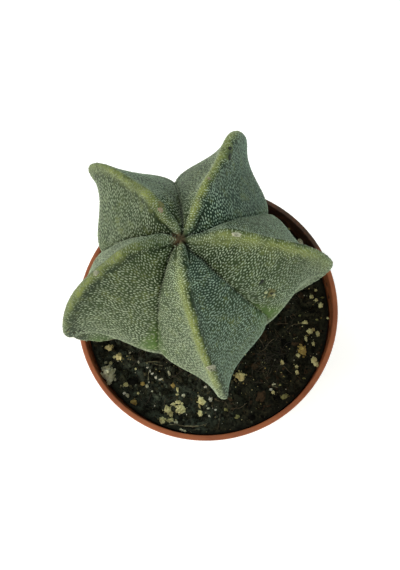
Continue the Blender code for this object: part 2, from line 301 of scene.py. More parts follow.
# Back right of the rim: peat dust on the lip and inner wall, darkened further as the plant's painted shadow
dust_and_shadow = times(tree, ramp(tree, away_from(tree, place, DUST_AND_SHADOW_SPOT), 19 * MM, 12 * MM, 0, 0.95),
              ramp(tree, blotches(tree, place, 2.5 * MM, 5.0, 0.65), 0.3, 0.5, 0.7, 1))
lip = ramp(tree, height, POT_HEIGHT - 2.0 * MM, POT_HEIGHT - 0.8 * MM)
dust_and_shadow = times(tree, dust_and_shadow, times(tree, inner_wall, lip, "MAXIMUM"))
color = blend(tree, dust_and_shadow, color, blend(tree, inner_wall, PEAT_DUST_AND_SHADOW, PEAT_STAIN_AND_SHADE))
painted(tree, shader, color, 0.18)
tree.links.new(ramp(tree, blotches(tree, place, 2 * MM, 4.0), 0.3, 0.7, 0.38, 0.6), shader.inputs["Roughness"])
relief(tree, shader, place, 0.5 * MM, 0.03 * MM, 2.0, 0.55)
settle(pot, "terracotta_plastic", plastic, "pot")

# Soil: dark peat that was pressed round the stem by hand and has settled by watering to some millimetres
# below the rim. Its surface is crumbly and moist, and it fills the pot down to the drain slots.
SOIL_LEVEL = POT_HEIGHT - 6 * MM
SOIL_SLOPE = -0.035              # it lies a little higher on the left
SOIL_ROUGHNESS = 0.8 * MM
SOIL_LUMP_SIZE = 7 * MM
SOIL_SIDES = 104
SOIL_RINGS = 13
MIDDLE_RINGS = 4                 # left out under the stem, where the surface closes to a point
SOIL_GAP = 0.3 * MM              # to the pot
PEAT = (38, 39, 27)
PEAT_DRY = (68, 64, 45)
PEAT_BLACK = (11, 11, 6)
PEAT_GREY = (70, 76, 62)
PEAT_COOL = (68, 76, 64)


def soil_height(x, y):
    lumps = noise.noise(Vector((x, y, 0)) / SOIL_LUMP_SIZE)
    crumbs = noise.noise(Vector((x, y, 9)) / SOIL_LUMP_SIZE * 2.3)
    return SOIL_LEVEL + SOIL_SLOPE * x + SOIL_ROUGHNESS * (lumps + 0.5 * crumbs)


def crumble(x, y):
    """Height of the fine crumbs that lie on the soil's main surface."""
    coarse = noise.turbulence(Vector((x, y, 3 * MM)) / (2.4 * MM), 3, False)
    fine = noise.turbulence(Vector((x, y, 5 * MM)) / (0.9 * MM), 2, True)
    return (1.3 * coarse + 0.45 * fine - 1.0) * MM


soil_radius = BORE_RADIUS - SOIL_GAP
soil = added("peat", bpy.ops.mesh.primitive_circle_add, vertices=SOIL_SIDES, radius=soil_radius,
             fill_type="NOTHING", location=(0, 0, SOIL_LEVEL))
edit_all()
for i in range(SOIL_RINGS):
    before, after = (1 - step / (SOIL_RINGS + MIDDLE_RINGS) for step in (i, i + 1))
    drawn_out(before, SOIL_LEVEL, after, SOIL_LEVEL)
bpy.ops.mesh.merge(type="CENTER")
bpy.ops.mesh.select_all(action="DESELECT")
bpy.ops.mesh.select_non_manifold()
wall = [(soil_radius, COLLAR_FOOT + 1.6 * MM), (inner_top - SOIL_GAP, COLLAR_FOOT - 1.3 * MM),
        (POT_FOOT_RADIUS - 0.2 * MM, 3.2 * MM), (POT_FOOT_RADIUS - 2.2 * MM, POT_FLOOR + SOIL_GAP)]
for station, next_station in zip([(soil_radius, SOIL_LEVEL), *wall], wall):
    drawn_out(*station, *next_station)
bpy.ops.mesh.edge_face_add()
bpy.ops.mesh.select_all(action="SELECT")
bpy.ops.mesh.normals_make_consistent(inside=False)
shape = bmesh.from_edit_mesh(soil.data)
for face in shape.faces:
    face.select_set(face.calc_center_median().z > SOIL_LEVEL - 0.1 * MM)
shape.select_flush_mode()
bpy.ops.mesh.subdivide(number_cuts=3)
edit_done(even_normals=False)
for vertex in soil.data.vertices:
    x, y, z = vertex.co
    if z > SOIL_LEVEL - 0.1 * MM:
        at_wall = min(1.0, max(0.0, (soil_radius - math.hypot(x, y)) / (2 * MM)))
        vertex.co.z = soil_height(x, y) + crumble(x, y) * (0.4 + 0.6 * at_wall)
sharper_than(60)

peat, tree, shader, place = new_material("moist_peat", 0.9)
color = blend(tree, ramp(tree, blotches(tree, place, 4 * MM, 6.0, 0.7), 0.5, 0.68), PEAT, PEAT_DRY)
color = blend(tree, ramp(tree, blotches(tree, place, 2.6 * MM, 5.0, 0.7), 0.56, 0.68, 0, 0.7), color,
              PEAT_GREY)
side = node(tree, "ShaderNodeSeparateXYZ", {0: place}).outputs["X"]
cool = times(tree, ramp(tree, side, 4 * MM, -14 * MM),
             ramp(tree, blotches(tree, place, 5 * MM, 4.0), 0.35, 0.6, 0, 0.85))
color = blend(tree, cool, color, PEAT_COOL)
color = blend(tree, ramp(tree, blotches(tree, place, 1.3 * MM, 5.0, 0.7), 0.47, 0.58, 0, 0.92), color,
              PEAT_BLACK)
shaded = ramp(tree, off_axis(tree, place), soil_radius - 1.5 * MM, soil_radius - 0.3 * MM, 0, 0.8)
painted(tree, shader, blend(tree, shaded, color, PEAT_BLACK), 0.15)
relief(tree, shader, place, 0.35 * MM, 0.25 * MM, 4.0, 0.8)
settle(soil, "peat_soil", peat, "soil")

# Grit: crushed pumice and a little quartz and lava that was mixed into the peat for drainage. The grains
# are crumbly, so small chips cling to them and lie around them where watering left them.
CREAM = (236, 232, 176)
TAN = (224, 210, 150)
ORANGE = (196, 170, 98)
GREY = (216, 217, 190)
OLIVE = (146, 148, 94)
WHITE = (238, 238, 222)
GRAIN_SHADE = (176, 166, 118)
GRIT = {                         # by colour: place from the pot's axis, width and depth in millimetres
    CREAM: (
        (-33.5, -6.5, 1.2, 1.0), (-29.3, -7.5, 0.5, 1.0), (-35.2, -8.0, 1.3, 1.3), (-27.7, -12.0, 0.7, 0.8),
        (-32.0, -16.3, 1.8, 1.6), (-28.6, -20.3, 0.8, 0.8), (-16.0, -22.3, 0.8, 1.6), (-16.4, -23.8, 1.3, 0.8),
        (-20.8, -27.8, 2.6, 2.6), (-20.0, -29.2, 1.8, 1.8), (-18.5, -26.6, 1.8, 1.4), (-16.8, -26.4, 1.9, 1.3),
        (-16.4, -28.9, 3.2, 3.4), (-23.2, -30.7, 2.1, 2.1), (-20.7, -31.3, 2.4, 1.8), (-20.4, -33.1, 1.0, 0.6),
        (-9.5, -28.0, 2.4, 2.8), (-10.8, -31.7, 1.5, 2.3), (37.0, -1.9, 1.1, 1.0), (35.0, -3.8, 1.5, 1.3),
        (35.9, -5.5, 1.3, 1.1), (37.0, -7.4, 1.7, 1.8), (30.2, -11.7, 2.3, 1.5), (37.9, -12.4, 0.7, 1.1),
        (30.9, -15.0, 2.0, 1.8), (33.3, -16.4, 1.3, 2.0), (29.0, -16.9, 1.0, 2.0), (30.9, -19.2, 1.0, 1.6),
        (24.9, -21.7, 1.3, 1.3), (29.4, -24.6, 2.0, 2.0), (29.7, -26.0, 1.6, 2.0), (23.5, -25.1, 1.0, 1.3),
        (23.1, -27.0, 1.2, 1.5), (13.7, -31.2, 1.2, 1.1)),
    TAN: (
        (-34.7, -2.9, 2.6, 2.0), (-31.8, -7.2, 2.0, 2.6), (-24.6, -30.3, 0.6, 0.8), (-10.5, -29.4, 0.6, 1.3),
        (4.8, -23.4, 3.6, 3.2), (32.1, -14.7, 1.3, 1.3), (19.2, -22.6, 1.3, 1.6)),
    ORANGE: (
        (-26.6, -17.4, 1.6, 1.3), (-30.8, -22.5, 2.3, 1.9), (-17.0, -20.7, 1.3, 1.6), (26.6, -20.4, 2.9, 3.6)),
    GREY: (
        (-36.8, -7.5, 1.1, 0.8), (-36.5, -11.8, 4.4, 5.4), (-37.6, -9.0, 1.8, 1.8), (-26.2, -10.0, 0.8, 1.0),
        (-33.7, -16.2, 0.7, 0.7), (-32.2, -20.0, 1.3, 1.3), (-25.2, -18.8, 1.0, 1.3), (-24.1, -20.8, 0.8, 0.5),
        (-17.3, -16.5, 0.8, 2.0), (-14.6, -24.6, 1.3, 1.3), (-19.0, -32.5, 1.3, 1.0), (-10.0, -25.9, 0.8, 0.7),
        (-7.9, -30.8, 1.0, 0.6), (-17.7, -35.4, 1.0, 0.6), (-18.1, -35.1, 0.8, 0.7), (-17.0, -35.9, 0.9, 0.7),
        (-15.0, -36.6, 1.1, 0.7), (-12.6, -36.9, 0.8, 0.6), (14.7, -28.8, 1.3, 0.5), (37.0, 15.6, 2.4, 2.0),
        (33.2, 24.2, 1.0, 0.8), (21.0, 33.0, 3.2, 3.0)),
    OLIVE: (
        (-2.4, -32.6, 1.3, 1.3), (0.4, -35.8, 1.9, 1.2), (38.2, -5.1, 1.3, 0.7), (34.3, -11.8, 1.0, 0.6),
        (35.5, -14.5, 0.8, 0.7), (24.6, -29.4, 1.3, 0.6), (17.0, -33.4, 2.6, 1.6), (16.5, -29.6, 0.8, 0.6),
        (29.4, -8.7, 1.0, 0.9), (37.6, 13.1, 1.4, 1.0), (34.7, 21.1, 1.4, 1.0)),
    WHITE: (
        (-28.2, -6.4, 0.7, 0.7), (-23.8, -12.7, 0.7, 0.5), (-23.2, -14.0, 0.5, 0.9), (-22.7, -15.1, 1.1, 0.6),
        (-21.9, -16.6, 0.8, 0.9), (-20.3, -17.6, 1.6, 0.7), (-36.1, -15.2, 0.8, 0.8), (-33.0, -19.1, 1.1, 0.8),
        (-6.5, -28.1, 1.3, 1.6), (-7.0, -23.7, 1.0, 0.8), (-8.2, -33.3, 0.7, 0.7), (-5.8, -31.8, 1.0, 0.6),
        (13.3, -30.1, 1.1, 1.0)),
}
LOOSE_GRIT = 40                  # grains in the unseen parts, strewn at random
LOOSE_SIZE = (0.8, 2.4)          # in millimetres
HIDDEN_FROM = 6 * MM             # how far behind the pot's axis the unseen parts start
GRIT_DUST = 800                  # specks
DUST_SIZE = (0.18, 0.35)         # of the smallest in millimetres, and how much larger the largest is
CORE_SHARE = (0.9, 0.8)          # of a small and a large grain's size that is its solid core
LARGE_GRAIN = 2.5 * MM
SMALLEST_CHIP = 0.28 * MM


def bead(name):
    """A bead of twenty faces, one unit across, as the model for many small copies."""
    return added(name, bpy.ops.mesh.primitive_ico_sphere_add, subdivisions=1, radius=0.5)


def splinter(name, unevenness, seed):
    """A broken bead."""
    obj = bead(name)
    edit_all()
    bpy.ops.transform.vertex_random(offset=unevenness, normal=0.5, seed=seed)
    edit_done(even_normals=False)
    return obj


def lump(name, unevenness, seed, cuts, roughness):
    """A broken lump one unit across, as the model for copies, with cuts for its rough surface."""
    obj = bead(name)
    edit_all()
    bpy.ops.mesh.subdivide(number_cuts=1, smoothness=1.0)
    bpy.ops.transform.vertex_random(offset=unevenness, normal=0.5, seed=seed)
    bpy.ops.mesh.subdivide(number_cuts=cuts, smoothness=0.3)
    bpy.ops.transform.vertex_random(offset=roughness, normal=0.7, seed=seed + 1)
    bpy.ops.mesh.quads_convert_to_tris()
    edit_done(even_normals=False)
    return obj


def copies(name, models, places, tints):
    """One mesh of tinted copies of the models, taken in turn, at places given as matrices; the models go."""
    places = np.array(places, float)
    points, faces, colors, offset = [], [], [], 0
    for k, model in enumerate(models):
        own = places[k::len(models)]
        co = np.array([v.co[:] for v in model.data.vertices])
        sides = np.array([p.vertices[:] for p in model.data.polygons])
        moved = np.einsum("nij,kj->nki", own[:, :3, :3], co) + own[:, None, :3, 3]
        points.append(moved.reshape(-1, 3))
        starts = offset + len(co) * np.arange(len(own))
        faces.append((sides[None] + starts[:, None, None]).reshape(-1, sides.shape[1]))
        offset += len(co) * len(own)
        colors.append(np.repeat(np.array(tints, float)[k::len(models)], len(co), axis=0))
    mesh = bpy.data.meshes.new(name)
    mesh.from_pydata(np.concatenate(points).tolist(), [], np.concatenate(faces).tolist())
    tint = mesh.attributes.new("tint", "FLOAT_COLOR", "POINT")
    tint.data.foreach_set("color", np.concatenate(colors).ravel())
    made = bpy.data.objects.new(name, mesh)
    bpy.context.scene.collection.objects.link(made)
    for model in models:
        bpy.data.objects.remove(model)
    alone(made)
    bpy.ops.object.shade_smooth()
    return made


def tinted_material(name, roughness, shade, size, stretch, detail=3.0, harshness=0.55, mode="MIX"):
    """A material for copies: each copy's own tint, with blotches of a shade over it."""
    made, tree, shader, place = new_material(name, roughness)
    tint = node(tree, "ShaderNodeAttribute", attribute_name="tint").outputs["Color"]
    amount = ramp(tree, blotches(tree, place, size, detail, harshness), *stretch)
    return made, tree, shader, place, blend(tree, amount, tint, shade, mode)


def lying(draw, x, y, width, depth, sink, turn=None):
    """Place of a lump of a size that lies partly sunk in the soil."""
    thickness = 0.75 * min(width, depth)
    height = soil_height(x, y) + crumble(x, y) + thickness * (0.5 - sink)
    turn = draw.uniform(0, 2 * math.pi) if turn is None else turn
    tilt = Matrix.Rotation(draw.uniform(-0.35, 0.35), 4, "X")
    stretch = Matrix.Diagonal((width, depth, thickness, 1))
    return Matrix.Translation((x, y, height)) @ Matrix.Rotation(turn, 4, "Z") @ tilt @ stretch


def spot_on_soil(draw, margin):
    """A random spot, at least a margin away from the pot."""
    turn = draw.uniform(0, 2 * math.pi)
    from_axis = (soil_radius - margin) * math.sqrt(draw.uniform(0.1, 1))
    return from_axis * math.cos(turn), from_axis * math.sin(turn)


grain_spots, grain_places, grain_tints, chip_places, chip_tints = [], [], [], [], []


def add_grain(draw, x, y, width, depth, color):
    """A crumbly grain: its core, and the chips that cling to its edge or have fallen off it."""
    color = np.array(srgb(color))
    smaller = min(width, depth)
    grain_spots.append((x, y, (width + depth) / 4))
    core = CORE_SHARE[smaller >= LARGE_GRAIN]
    grain_places.append(lying(draw, x, y, core * width, core * depth, 0.15, draw.uniform(-0.3, 0.3)))
    grain_tints.append(color * draw.uniform(0.8, 1.0))
    for _ in range(2 + int(5 * (width * depth / MM**2) ** 0.8)):
        turn = draw.uniform(0, 2 * math.pi)
        out = draw.uniform(0.1, 0.6)
        size = max(SMALLEST_CHIP, draw.uniform(0.14, 0.36) * smaller)
        lift = max(0, 0.6 - out) * smaller
        chip_places.append(lying(draw, x + out * width * math.cos(turn), y + out * depth * math.sin(turn), size,
                                 size * draw.uniform(0.6, 1), 0.1 - lift / (0.6 * size)))
        chip_tints.append(color * draw.uniform(0.55, 1.3))


draw = random.Random(5)
for color, grains in GRIT.items():
    for x, y, width, depth in grains:
        add_grain(draw, x * MM, y * MM, width * MM, depth * MM, color)
while len(grain_spots) < sum(map(len, GRIT.values())) + LOOSE_GRIT:
    x, y = spot_on_soil(draw, 2 * MM)
    if y > HIDDEN_FROM:
        size = draw.uniform(*LOOSE_SIZE) * MM
        add_grain(draw, x, y, size, size * draw.uniform(0.7, 1), draw.choice(tuple(GRIT)))
for i in range(GRIT_DUST):
    size = (DUST_SIZE[0] + DUST_SIZE[1] * draw.random() ** 2) * MM
    x, y = spot_on_soil(draw, size)
    chip_places.append(lying(draw, x, y, size, size, -0.5))
    chip_tints.append(np.array(srgb(draw.choice(tuple(GRIT)))) * draw.uniform(0.15, 0.9))
grit = copies("grit", [lump("grain", 0.17, seed, 1, 0.05) for seed in (11, 13, 15, 17)], grain_places,
              grain_tints)
sharper_than(30)
chips = copies("grit_chips", [splinter("chip", 0.12, seed) for seed in (21, 22, 23)], chip_places, chip_tints)
sharper_than(30)

pumice, tree, shader, place, color = tinted_material(
    "pumice_grit", 0.9, GRAIN_SHADE, 1.2 * MM, (0.42, 0.66, 0.6, 0), 4.0, 0.7, "MULTIPLY")
soiled = ramp(tree, blotches(tree, place, 0.7 * MM, 4.0, 0.7), 0.6, 0.72, 0, 0.85)
painted(tree, shader, blend(tree, soiled, color, PEAT))
relief(tree, shader, place, 0.35 * MM, 0.2 * MM)
settle(grit, "peat_soil", pumice)
settle(chips, "peat_soil", pumice)

# Peat crumbs and fibres: loose bits of the same peat that lie between the grains, from dust to lumps of
# three millimetres, with thin dead roots and a few pale straws among them.
CRUMBS = 5000
CRUMB_SIZE = (0.3, 1.3)          # of the smallest in millimetres, and how much larger the largest is
CLODS = 230
CLOD_SIZE = (1.5, 3.6)
FIBRES = 230
FIBRE_LENGTH = (2, 7)
TANGLE = 90                      # more of them in one brown tangle of roots
TANGLE_PLACE = (16.8 * MM, -19 * MM)
TANGLE_SPREAD = 3.2 * MM
PEAT_BROWN = (62, 48, 32)
FIBRE_BROWN = (92, 78, 54)
FIBRE_DARK = (50, 42, 28)
STRAW = (150, 146, 112)
STRAWS = (                       # place, length and direction of each that shows, in millimetres and degrees
    (-15.5, -34.6, 7.0, 165), (-12.0, -35.6, 5.0, 181), (-19.0, -33.4, 4.5, 158), (-14.0, -36.2, 3.5, 170),
    (-21.1, -11.7, 4.0, -12), (-20.0, -13.0, 3.0, -30), (14.8, -29.6, 2.2, 150), (-24.0, -15.5, 3.0, 75),
)


def hidden_by_grit(x, y, size):
    return any(math.hypot(x - near_x, y - near_y) < 0.4 * size + near_size
               for near_x, near_y, near_size in grain_spots)


draw = random.Random(3)
crumb_places, crumb_tints, clod_places, clod_tints = [], [], [], []
for i in range(CRUMBS + CLODS):
    size = (CRUMB_SIZE[0] + CRUMB_SIZE[1] * draw.random() ** 3 if i < CRUMBS else draw.uniform(*CLOD_SIZE)) * MM
    x, y = spot_on_soil(draw, size / 2)
    if size > 0.6 * MM and hidden_by_grit(x, y, size):
        continue
    color = draw.choice((PEAT_BLACK, PEAT, PEAT, PEAT, PEAT_DRY, PEAT_GREY))
    if color in (PEAT_GREY, PEAT_DRY) and x > 4 * MM + 20 * MM * noise.noise(Vector((x, y, 0)) / (9 * MM)):
        color = PEAT_BROWN
    places, tints = (crumb_places, crumb_tints) if i < CRUMBS else (clod_places, clod_tints)
    places.append(lying(draw, x, y, size, size * draw.uniform(0.5, 1), 0.3 if i < CRUMBS else 0.5))
    tints.append(np.array(srgb(color)) * draw.uniform(0.6, 1.3) * (1.25 if x < -4 * MM else 1.0))
crumbs = copies("peat_crumbs", [splinter("crumb", 0.15, seed) for seed in range(5)], crumb_places, crumb_tints)
sharper_than(25)
clods = copies("peat_clods", [lump("clod", 0.2, seed, 1, 0.07) for seed in range(4)], clod_places, clod_tints)
sharper_than(30)

crumb_peat, tree, shader, place, color = tinted_material(
    "peat_crumb", 0.95, PEAT_BLACK, 0.9 * MM, (0.45, 0.6, 0, 0.65), 5.0, 0.75)
painted(tree, shader, color, 0.15)
relief(tree, shader, place, 0.3 * MM, 0.15 * MM)
settle(crumbs, "peat_soil", crumb_peat)
settle(clods, "peat_soil", crumb_peat)


def strand(name, draw, links, bend, width):
    """A crooked three-sided strand one unit long, as the model for copies."""
    obj = added(name, bpy.ops.mesh.primitive_circle_add, vertices=3, radius=width / 2, fill_type="NGON",
                rotation=(0, math.pi / 2, 0))
    edit_all()
    heading, rise = 0.0, 0.0
    for i in range(links):
        heading += draw.uniform(-bend, bend)
        rise += draw.uniform(-0.5, 0.5) * bend
        bpy.ops.mesh.extrude_region_move(TRANSFORM_OT_translate={
            "value": (math.cos(heading) / links, math.sin(heading) / links, rise * 0.3 / links)})
    bpy.ops.mesh.select_all(action="SELECT")
    bpy.ops.mesh.quads_convert_to_tris()
    edit_done()
    return obj


fibre_places, fibre_tints = [], []


def add_fibre(draw, x, y, length, turn, color, lift=0.3 * MM):
    slope = Matrix.Rotation(draw.uniform(-0.15, 0.1), 4, "Y")
    rest = Matrix.Translation((x, y, soil_height(x, y) + crumble(x, y) + lift))
    fibre_places.append(rest @ Matrix.Rotation(turn, 4, "Z") @ slope @ Matrix.Diagonal((length,) * 3 + (1,)))
    fibre_tints.append(np.array(srgb(color)) * draw.uniform(0.8, 1.1))


for i in range(FIBRES + TANGLE):
    x, y = spot_on_soil(draw, 5 * MM)
    if i >= FIBRES:
        x, y = (middle + draw.gauss(0, TANGLE_SPREAD) for middle in TANGLE_PLACE)
    add_fibre(draw, x, y, draw.uniform(*FIBRE_LENGTH) * MM, draw.uniform(0, 2 * math.pi),
              draw.choice((FIBRE_BROWN, FIBRE_DARK, FIBRE_DARK)))
for x, y, length, turn in STRAWS:
    turn = math.radians(turn)
    add_fibre(draw, (x - length / 2 * math.cos(turn)) * MM, (y - length / 2 * math.sin(turn)) * MM, length * MM,
              turn, STRAW, 1.0 * MM)
loose = len(fibre_places) - len(STRAWS)
fibres = copies("peat_fibres", [strand("fibre", draw, 7, 0.45, 0.04) for _ in range(4)], fibre_places[:loose],
                fibre_tints[:loose])
straws = copies("peat_straws", [strand("straw", draw, 6, 0.2, 0.06) for _ in range(3)], fibre_places[loose:],
                fibre_tints[loose:])

dead_root, tree, shader, place, color = tinted_material(
    "dead_root", 0.8, FIBRE_DARK, 1.5 * MM, (0.45, 0.6, 0, 0.6))
painted(tree, shader, color)
settle(fibres, "peat_soil", dead_root)
settle(straws, "peat_soil", dead_root)

# Stem: one firm, water-filled succulent body that grew with five broad ribs. The ribs meet in tight
# furrows, swell towards them and end in thin crests that run from the sunken crown down to the root.
STEM_FOOT = np.array((-0.9, 6.3, SOIL_LEVEL / MM))     # in millimetres, as all sizes of the stem
STEM_HEIGHT = 66.0
RIBS = (                         # azimuth, reach, lift of the tip, spread of the foot, bow, hook
    (-18.0, 40.3, 2.1, -2.0, 0.3, 0.3),
    (55.0, 41.0, 2.5, 0.0, -1.7, -0.9),
    (121.5, 39.7, 5.9, 0.0, -1.6, 0.7),
    (192.0, 41.5, -1.9, 2.8, -2.2, 1.4),
    (268.0, 39.5, -5.3, 0.0, -2.0, 0.75),
)
FURROWS = (                      # after each rib: azimuth, reach, bow, kink near the crown, swell beside it
    (18.5, 27.2, -1.6, 0.0, 27),
    (86.5, 26.1, -1.0, 0.0, 27),
    (157.0, 26.8, 0.0, 0.0, 27),
    (234.5, 26.4, -1.6, 0.0, 25),
    (308.5, 27.2, -2.1, 0.75, 19),
)
CREST = (      # down a rib's edge: share of its reach, of the height, of the lift and of the spread
    (0.040, 0.945, 0.0, 0.0), (0.106, 0.958, 0.0, 0.0), (0.308, 1.018, 0.0, 0.0), (0.536, 0.946, 0.0, 0.0),
    (0.837, 0.812, 0.5, 0.0), (0.994, 0.616, 1.0, 0.0), (0.968, 0.455, 0.8, 0.2), (0.890, 0.290, 0.4, 0.6),
    (0.800, 0.120, 0.0, 0.9), (0.745, 0.000, 0.0, 1.0), (0.640, -0.075, 0.0, 0.7), (0.430, -0.150, 0.0, 0.0),
    (0.250, -0.215, 0.0, 0.0),
)
VALLEY = (     # down a furrow: share of its reach and of the height
    (0.035, 0.925), (0.112, 0.950), (0.344, 0.912), (0.594, 0.834), (0.832, 0.691), (1.000, 0.572),
    (0.979, 0.400), (0.928, 0.261), (0.880, 0.121), (0.850, 0.000), (0.780, -0.075), (0.570, -0.150),
    (0.375, -0.215),
)
CREST_ROUNDING = ((0, 0.6), (1, 1.5), (2, 1.55), (4, 1.8), (6, 2.1), (12, 2.1))   # at spans of the crest
TIP_BLUNTNESS = (0.75, 1.3, 0.42, 1.0, 0.85)
FLANKS = (     # of each rib, its clockwise and its anticlockwise side: roundness and wrap of the crest, near the crown and further out, pull of the shoulder, reach of the yellow band, strength of the dark stripe beside it, which is painted shade of the crest, tone of painted light from bluish at -1, where the cool light falls, to olive at 1, where the warm light falls, and wear, with painted light: flanks that face the main light are paler
               # the crown and further out, pull of the shoulder, reach of the yellow band, strength of the
               # dark stripe beside it, tone from bluish at -1 to olive at 1, wear
    ((1.0, 62, 80, 0.39, 3.4, 0.0, 0.8, 0.15), (0.5, 84, 84, 0.41, 1.5, 0.5, -0.6, 0.50)),
    ((1.0, 80, 75, 0.43, 1.4, 0.3, -1.0, 0.05), (0.7, 66, 83, 0.35, 1.9, 0.0, 0.1, 0.70)),
    ((0.8, 77, 65, 0.41, 1.7, 0.1, -0.4, 0.30), (0.9, 77, 84, 0.41, 2.9, 0.9, 0.6, 0.10)),
    ((1.0, 70, 66, 0.41, 1.8, 0.0, 0.0, 0.80), (0.6, 84, 84, 0.43, 2.0, 1.0, 0.7, 0.00)),
    ((1.1, 45, 72, 0.37, 2.4, 0.0, 0.5, 1.00), (0.5, 88, 75, 0.45, 1.3, 1.0, -1.0, 0.10)),
)
BAND_STRENGTH = (0.95, 1.0, 0.8, 0.72, 1.0)                        # of the yellow band
BAND_MIDDLE = (-1.1, 0.4, 0.0, -0.2, -1.0)                         # of each rib, off its crest
YELLOW_REACH = ((16, 38), (4, 42), (10, 34), (16, 40), (18, 50))   # along each crest, where it is strong
FRESH = ((0.9, 0.2), (0.2, 0.2), (0.2, 0.2), (0.2, 0.95), (0.45, 0.3))   # young skin low on the two flanks
BULGES = (      # place of a fold, the azimuth it stands out to, its width and height, how far it stands out
    ((-33.5, -4.6, 90.5), 258, 3.4, 3.6, 1.9),
    ((-31.0, -6.0, 99.0), 258, 7.0, 3.0, -2.3),
)
DRIFT = (       # how the ribs' ends lie off their lines round the crown: place seen from above, way it moved
    (-1.5, 7.7, 0.3, 0.1), (-0.3, 7.4, 0.3, -0.6), (0.1, 6.2, -0.7, -0.5), (-0.9, 6.3, -0.9, 0.0),
    (1.5, 2.5, -1.3, -0.9), (3.5, -0.8, -0.7, -0.3), (-1.8, 3.0, -0.9, 0.1), (-2.7, -0.7, -0.8, 0.2),
    (-3.4, -6.2, -0.4, 0.1), (-3.5, 4.3, -0.8, 0.8), (-5.4, 2.1, -0.4, 0.3), (-5.9, 6.7, 0.2, 0.9),
    (4.7, 7.3, -0.2, -0.6),
)
DRIFT_REACH = 2.4
OLD_WEAR = (0.6, 0.1, 0.45, 0.6, 0.6)      # of the skin near each tip
FURROW_PULL = 0.33
CREASE_DEPTH = 2.0
CREASE_WIDTH = 1.3
CROWN_DIP = 0.930                          # height of the crown's middle and depth of the root's end
ROOT_DEPTH = 0.240
ROWS_PER_SPAN = 11
CAP_COLUMNS = 5
FLANK_COLUMNS = 30
BAND, WORN_AND_LIT, ACROSS, ALONG = 0, 3, 8, 9     # layers of a rib's coat that are read on their own


def curve_through(points):
    """Points on a smooth curve through the given ones."""
    knots = np.array(points, float)
    spans = len(knots) - 1
    along = np.linspace(0, spans, spans * ROWS_PER_SPAN + 1)
    start = np.minimum(along.astype(int), spans - 1)
    f = (along - start)[:, None]
    slope = np.gradient(knots, axis=0)
    return ((2 * f**3 - 3 * f**2 + 1) * knots[start] + (f**3 - 2 * f**2 + f) * slope[start]
            + (3 * f**2 - 2 * f**3) * knots[start + 1] + (f**3 - f**2) * slope[start + 1])


def unit(vectors):
    return vectors / np.linalg.norm(vectors, axis=-1, keepdims=True)


def outward_and_side(azimuth):
    a = math.radians(azimuth)
    return np.array((math.cos(a), math.sin(a), 0)), np.array((-math.sin(a), math.cos(a), 0))


def line_on_stem(azimuth, radius, height, sideways):
    """A crest or furrow from its radius, height and bow at each step."""
    out, side = outward_and_side(azimuth)
    return (radius[:, None] * out + sideways[:, None] * side + height[:, None] * np.array((0, 0, 1))
            + STEM_FOOT)


def crest_line(rib):
    azimuth, reach, lift, spread, bow, hook = rib
    radius, height = curve_through([
        (part * reach + spread * own_spread, up * STEM_HEIGHT + lift * own_lift)
        for part, up, own_lift, own_spread in CREST]).T
    out = radius / reach
    sideways = bow * np.sin(math.pi * out) + hook * np.clip((out - 0.7) / 0.3, 0, 1) ** 2
    return line_on_stem(azimuth, radius, height, sideways)


def furrow_line(furrow):
    """A furrow, the direction out of it, and the angle at which the flanks swell beside it."""
    azimuth, reach, bow, kink, swell = furrow
    radius, height = curve_through([(part * reach, up * STEM_HEIGHT) for part, up in VALLEY]).T
    out = radius / reach
    sideways = bow * np.sin(math.pi * out) + kink * np.exp(-((out - 0.3) / 0.12) ** 2)
    line = line_on_stem(azimuth, radius, height, sideways)
    run = unit(np.gradient(line, axis=0))
    return line, unit(np.cross(run, outward_and_side(azimuth)[1])), math.radians(swell)


def half_rib(crest, azimuth, furrow_and_out, sign, rounding, roundness, crown_wrap, wrap, pull):
    """Columns of points from beside the crest down one flank into the crease of its furrow."""
    furrow, out, swell = furrow_and_out
    run = unit(np.gradient(crest, axis=0))
    up = unit(np.cross(run, outward_and_side(azimuth)[1]))
    across = unit(np.cross(up, run)) * sign
    rounding = rounding * (1 + (roundness - 1) * outer)
    core = crest - rounding * up
    wrap = np.radians(crown_wrap + (wrap - crown_wrap) * outer)
    turns = [wrap * (i + 1) / CAP_COLUMNS for i in range(CAP_COLUMNS)]
    columns = [core + rounding * (np.cos(turn) * up + np.sin(turn) * across) for turn in turns]
    a, d = columns[-1], furrow
    length = np.linalg.norm(d - a, axis=1, keepdims=True)
    arrive = unit(math.sin(swell) * up - math.cos(swell) * unit(d - a))
    b = a + (np.cos(wrap) * across - np.sin(wrap) * up) * length * pull
    c = d + arrive * length * FURROW_PULL
    depth = np.minimum(CREASE_DEPTH * (1 - 0.6 * outer), (0.7 - 0.55 * outer) * length)
    for i in range(FLANK_COLUMNS):
        s = 1 - (1 - (i + 1) / FLANK_COLUMNS) ** 1.5
        point = (1 - s)**3 * a + 3 * (1 - s)**2 * s * b + 3 * (1 - s) * s**2 * c + s**3 * d
        from_furrow = np.linalg.norm(point - furrow, axis=1, keepdims=True)
        columns.append(point - out * depth * np.exp(-from_furrow / CREASE_WIDTH))
    return columns


crests = [crest_line(rib) for rib in RIBS]
furrows = [furrow_line(furrow) for furrow in FURROWS]
row_count = len(crests[0])
span_at = np.arange(row_count) / ROWS_PER_SPAN
rounding = np.interp(span_at, *zip(*CREST_ROUNDING))[:, None]
crown = STEM_FOOT + (-0.9, -0.1, CROWN_DIP * STEM_HEIGHT)
root = STEM_FOOT - (0, 0, ROOT_DEPTH * STEM_HEIGHT)
tip_share = np.interp(span_at, (2, 4), (0, 1))[:, None]
outer = np.interp(span_at, (1, 3), (0, 1))[:, None]


def share(value, start, end):
    """0 at the start, 1 at the end, and evenly rising between them."""
    return np.clip((value - start) / (end - start), 0, 1)


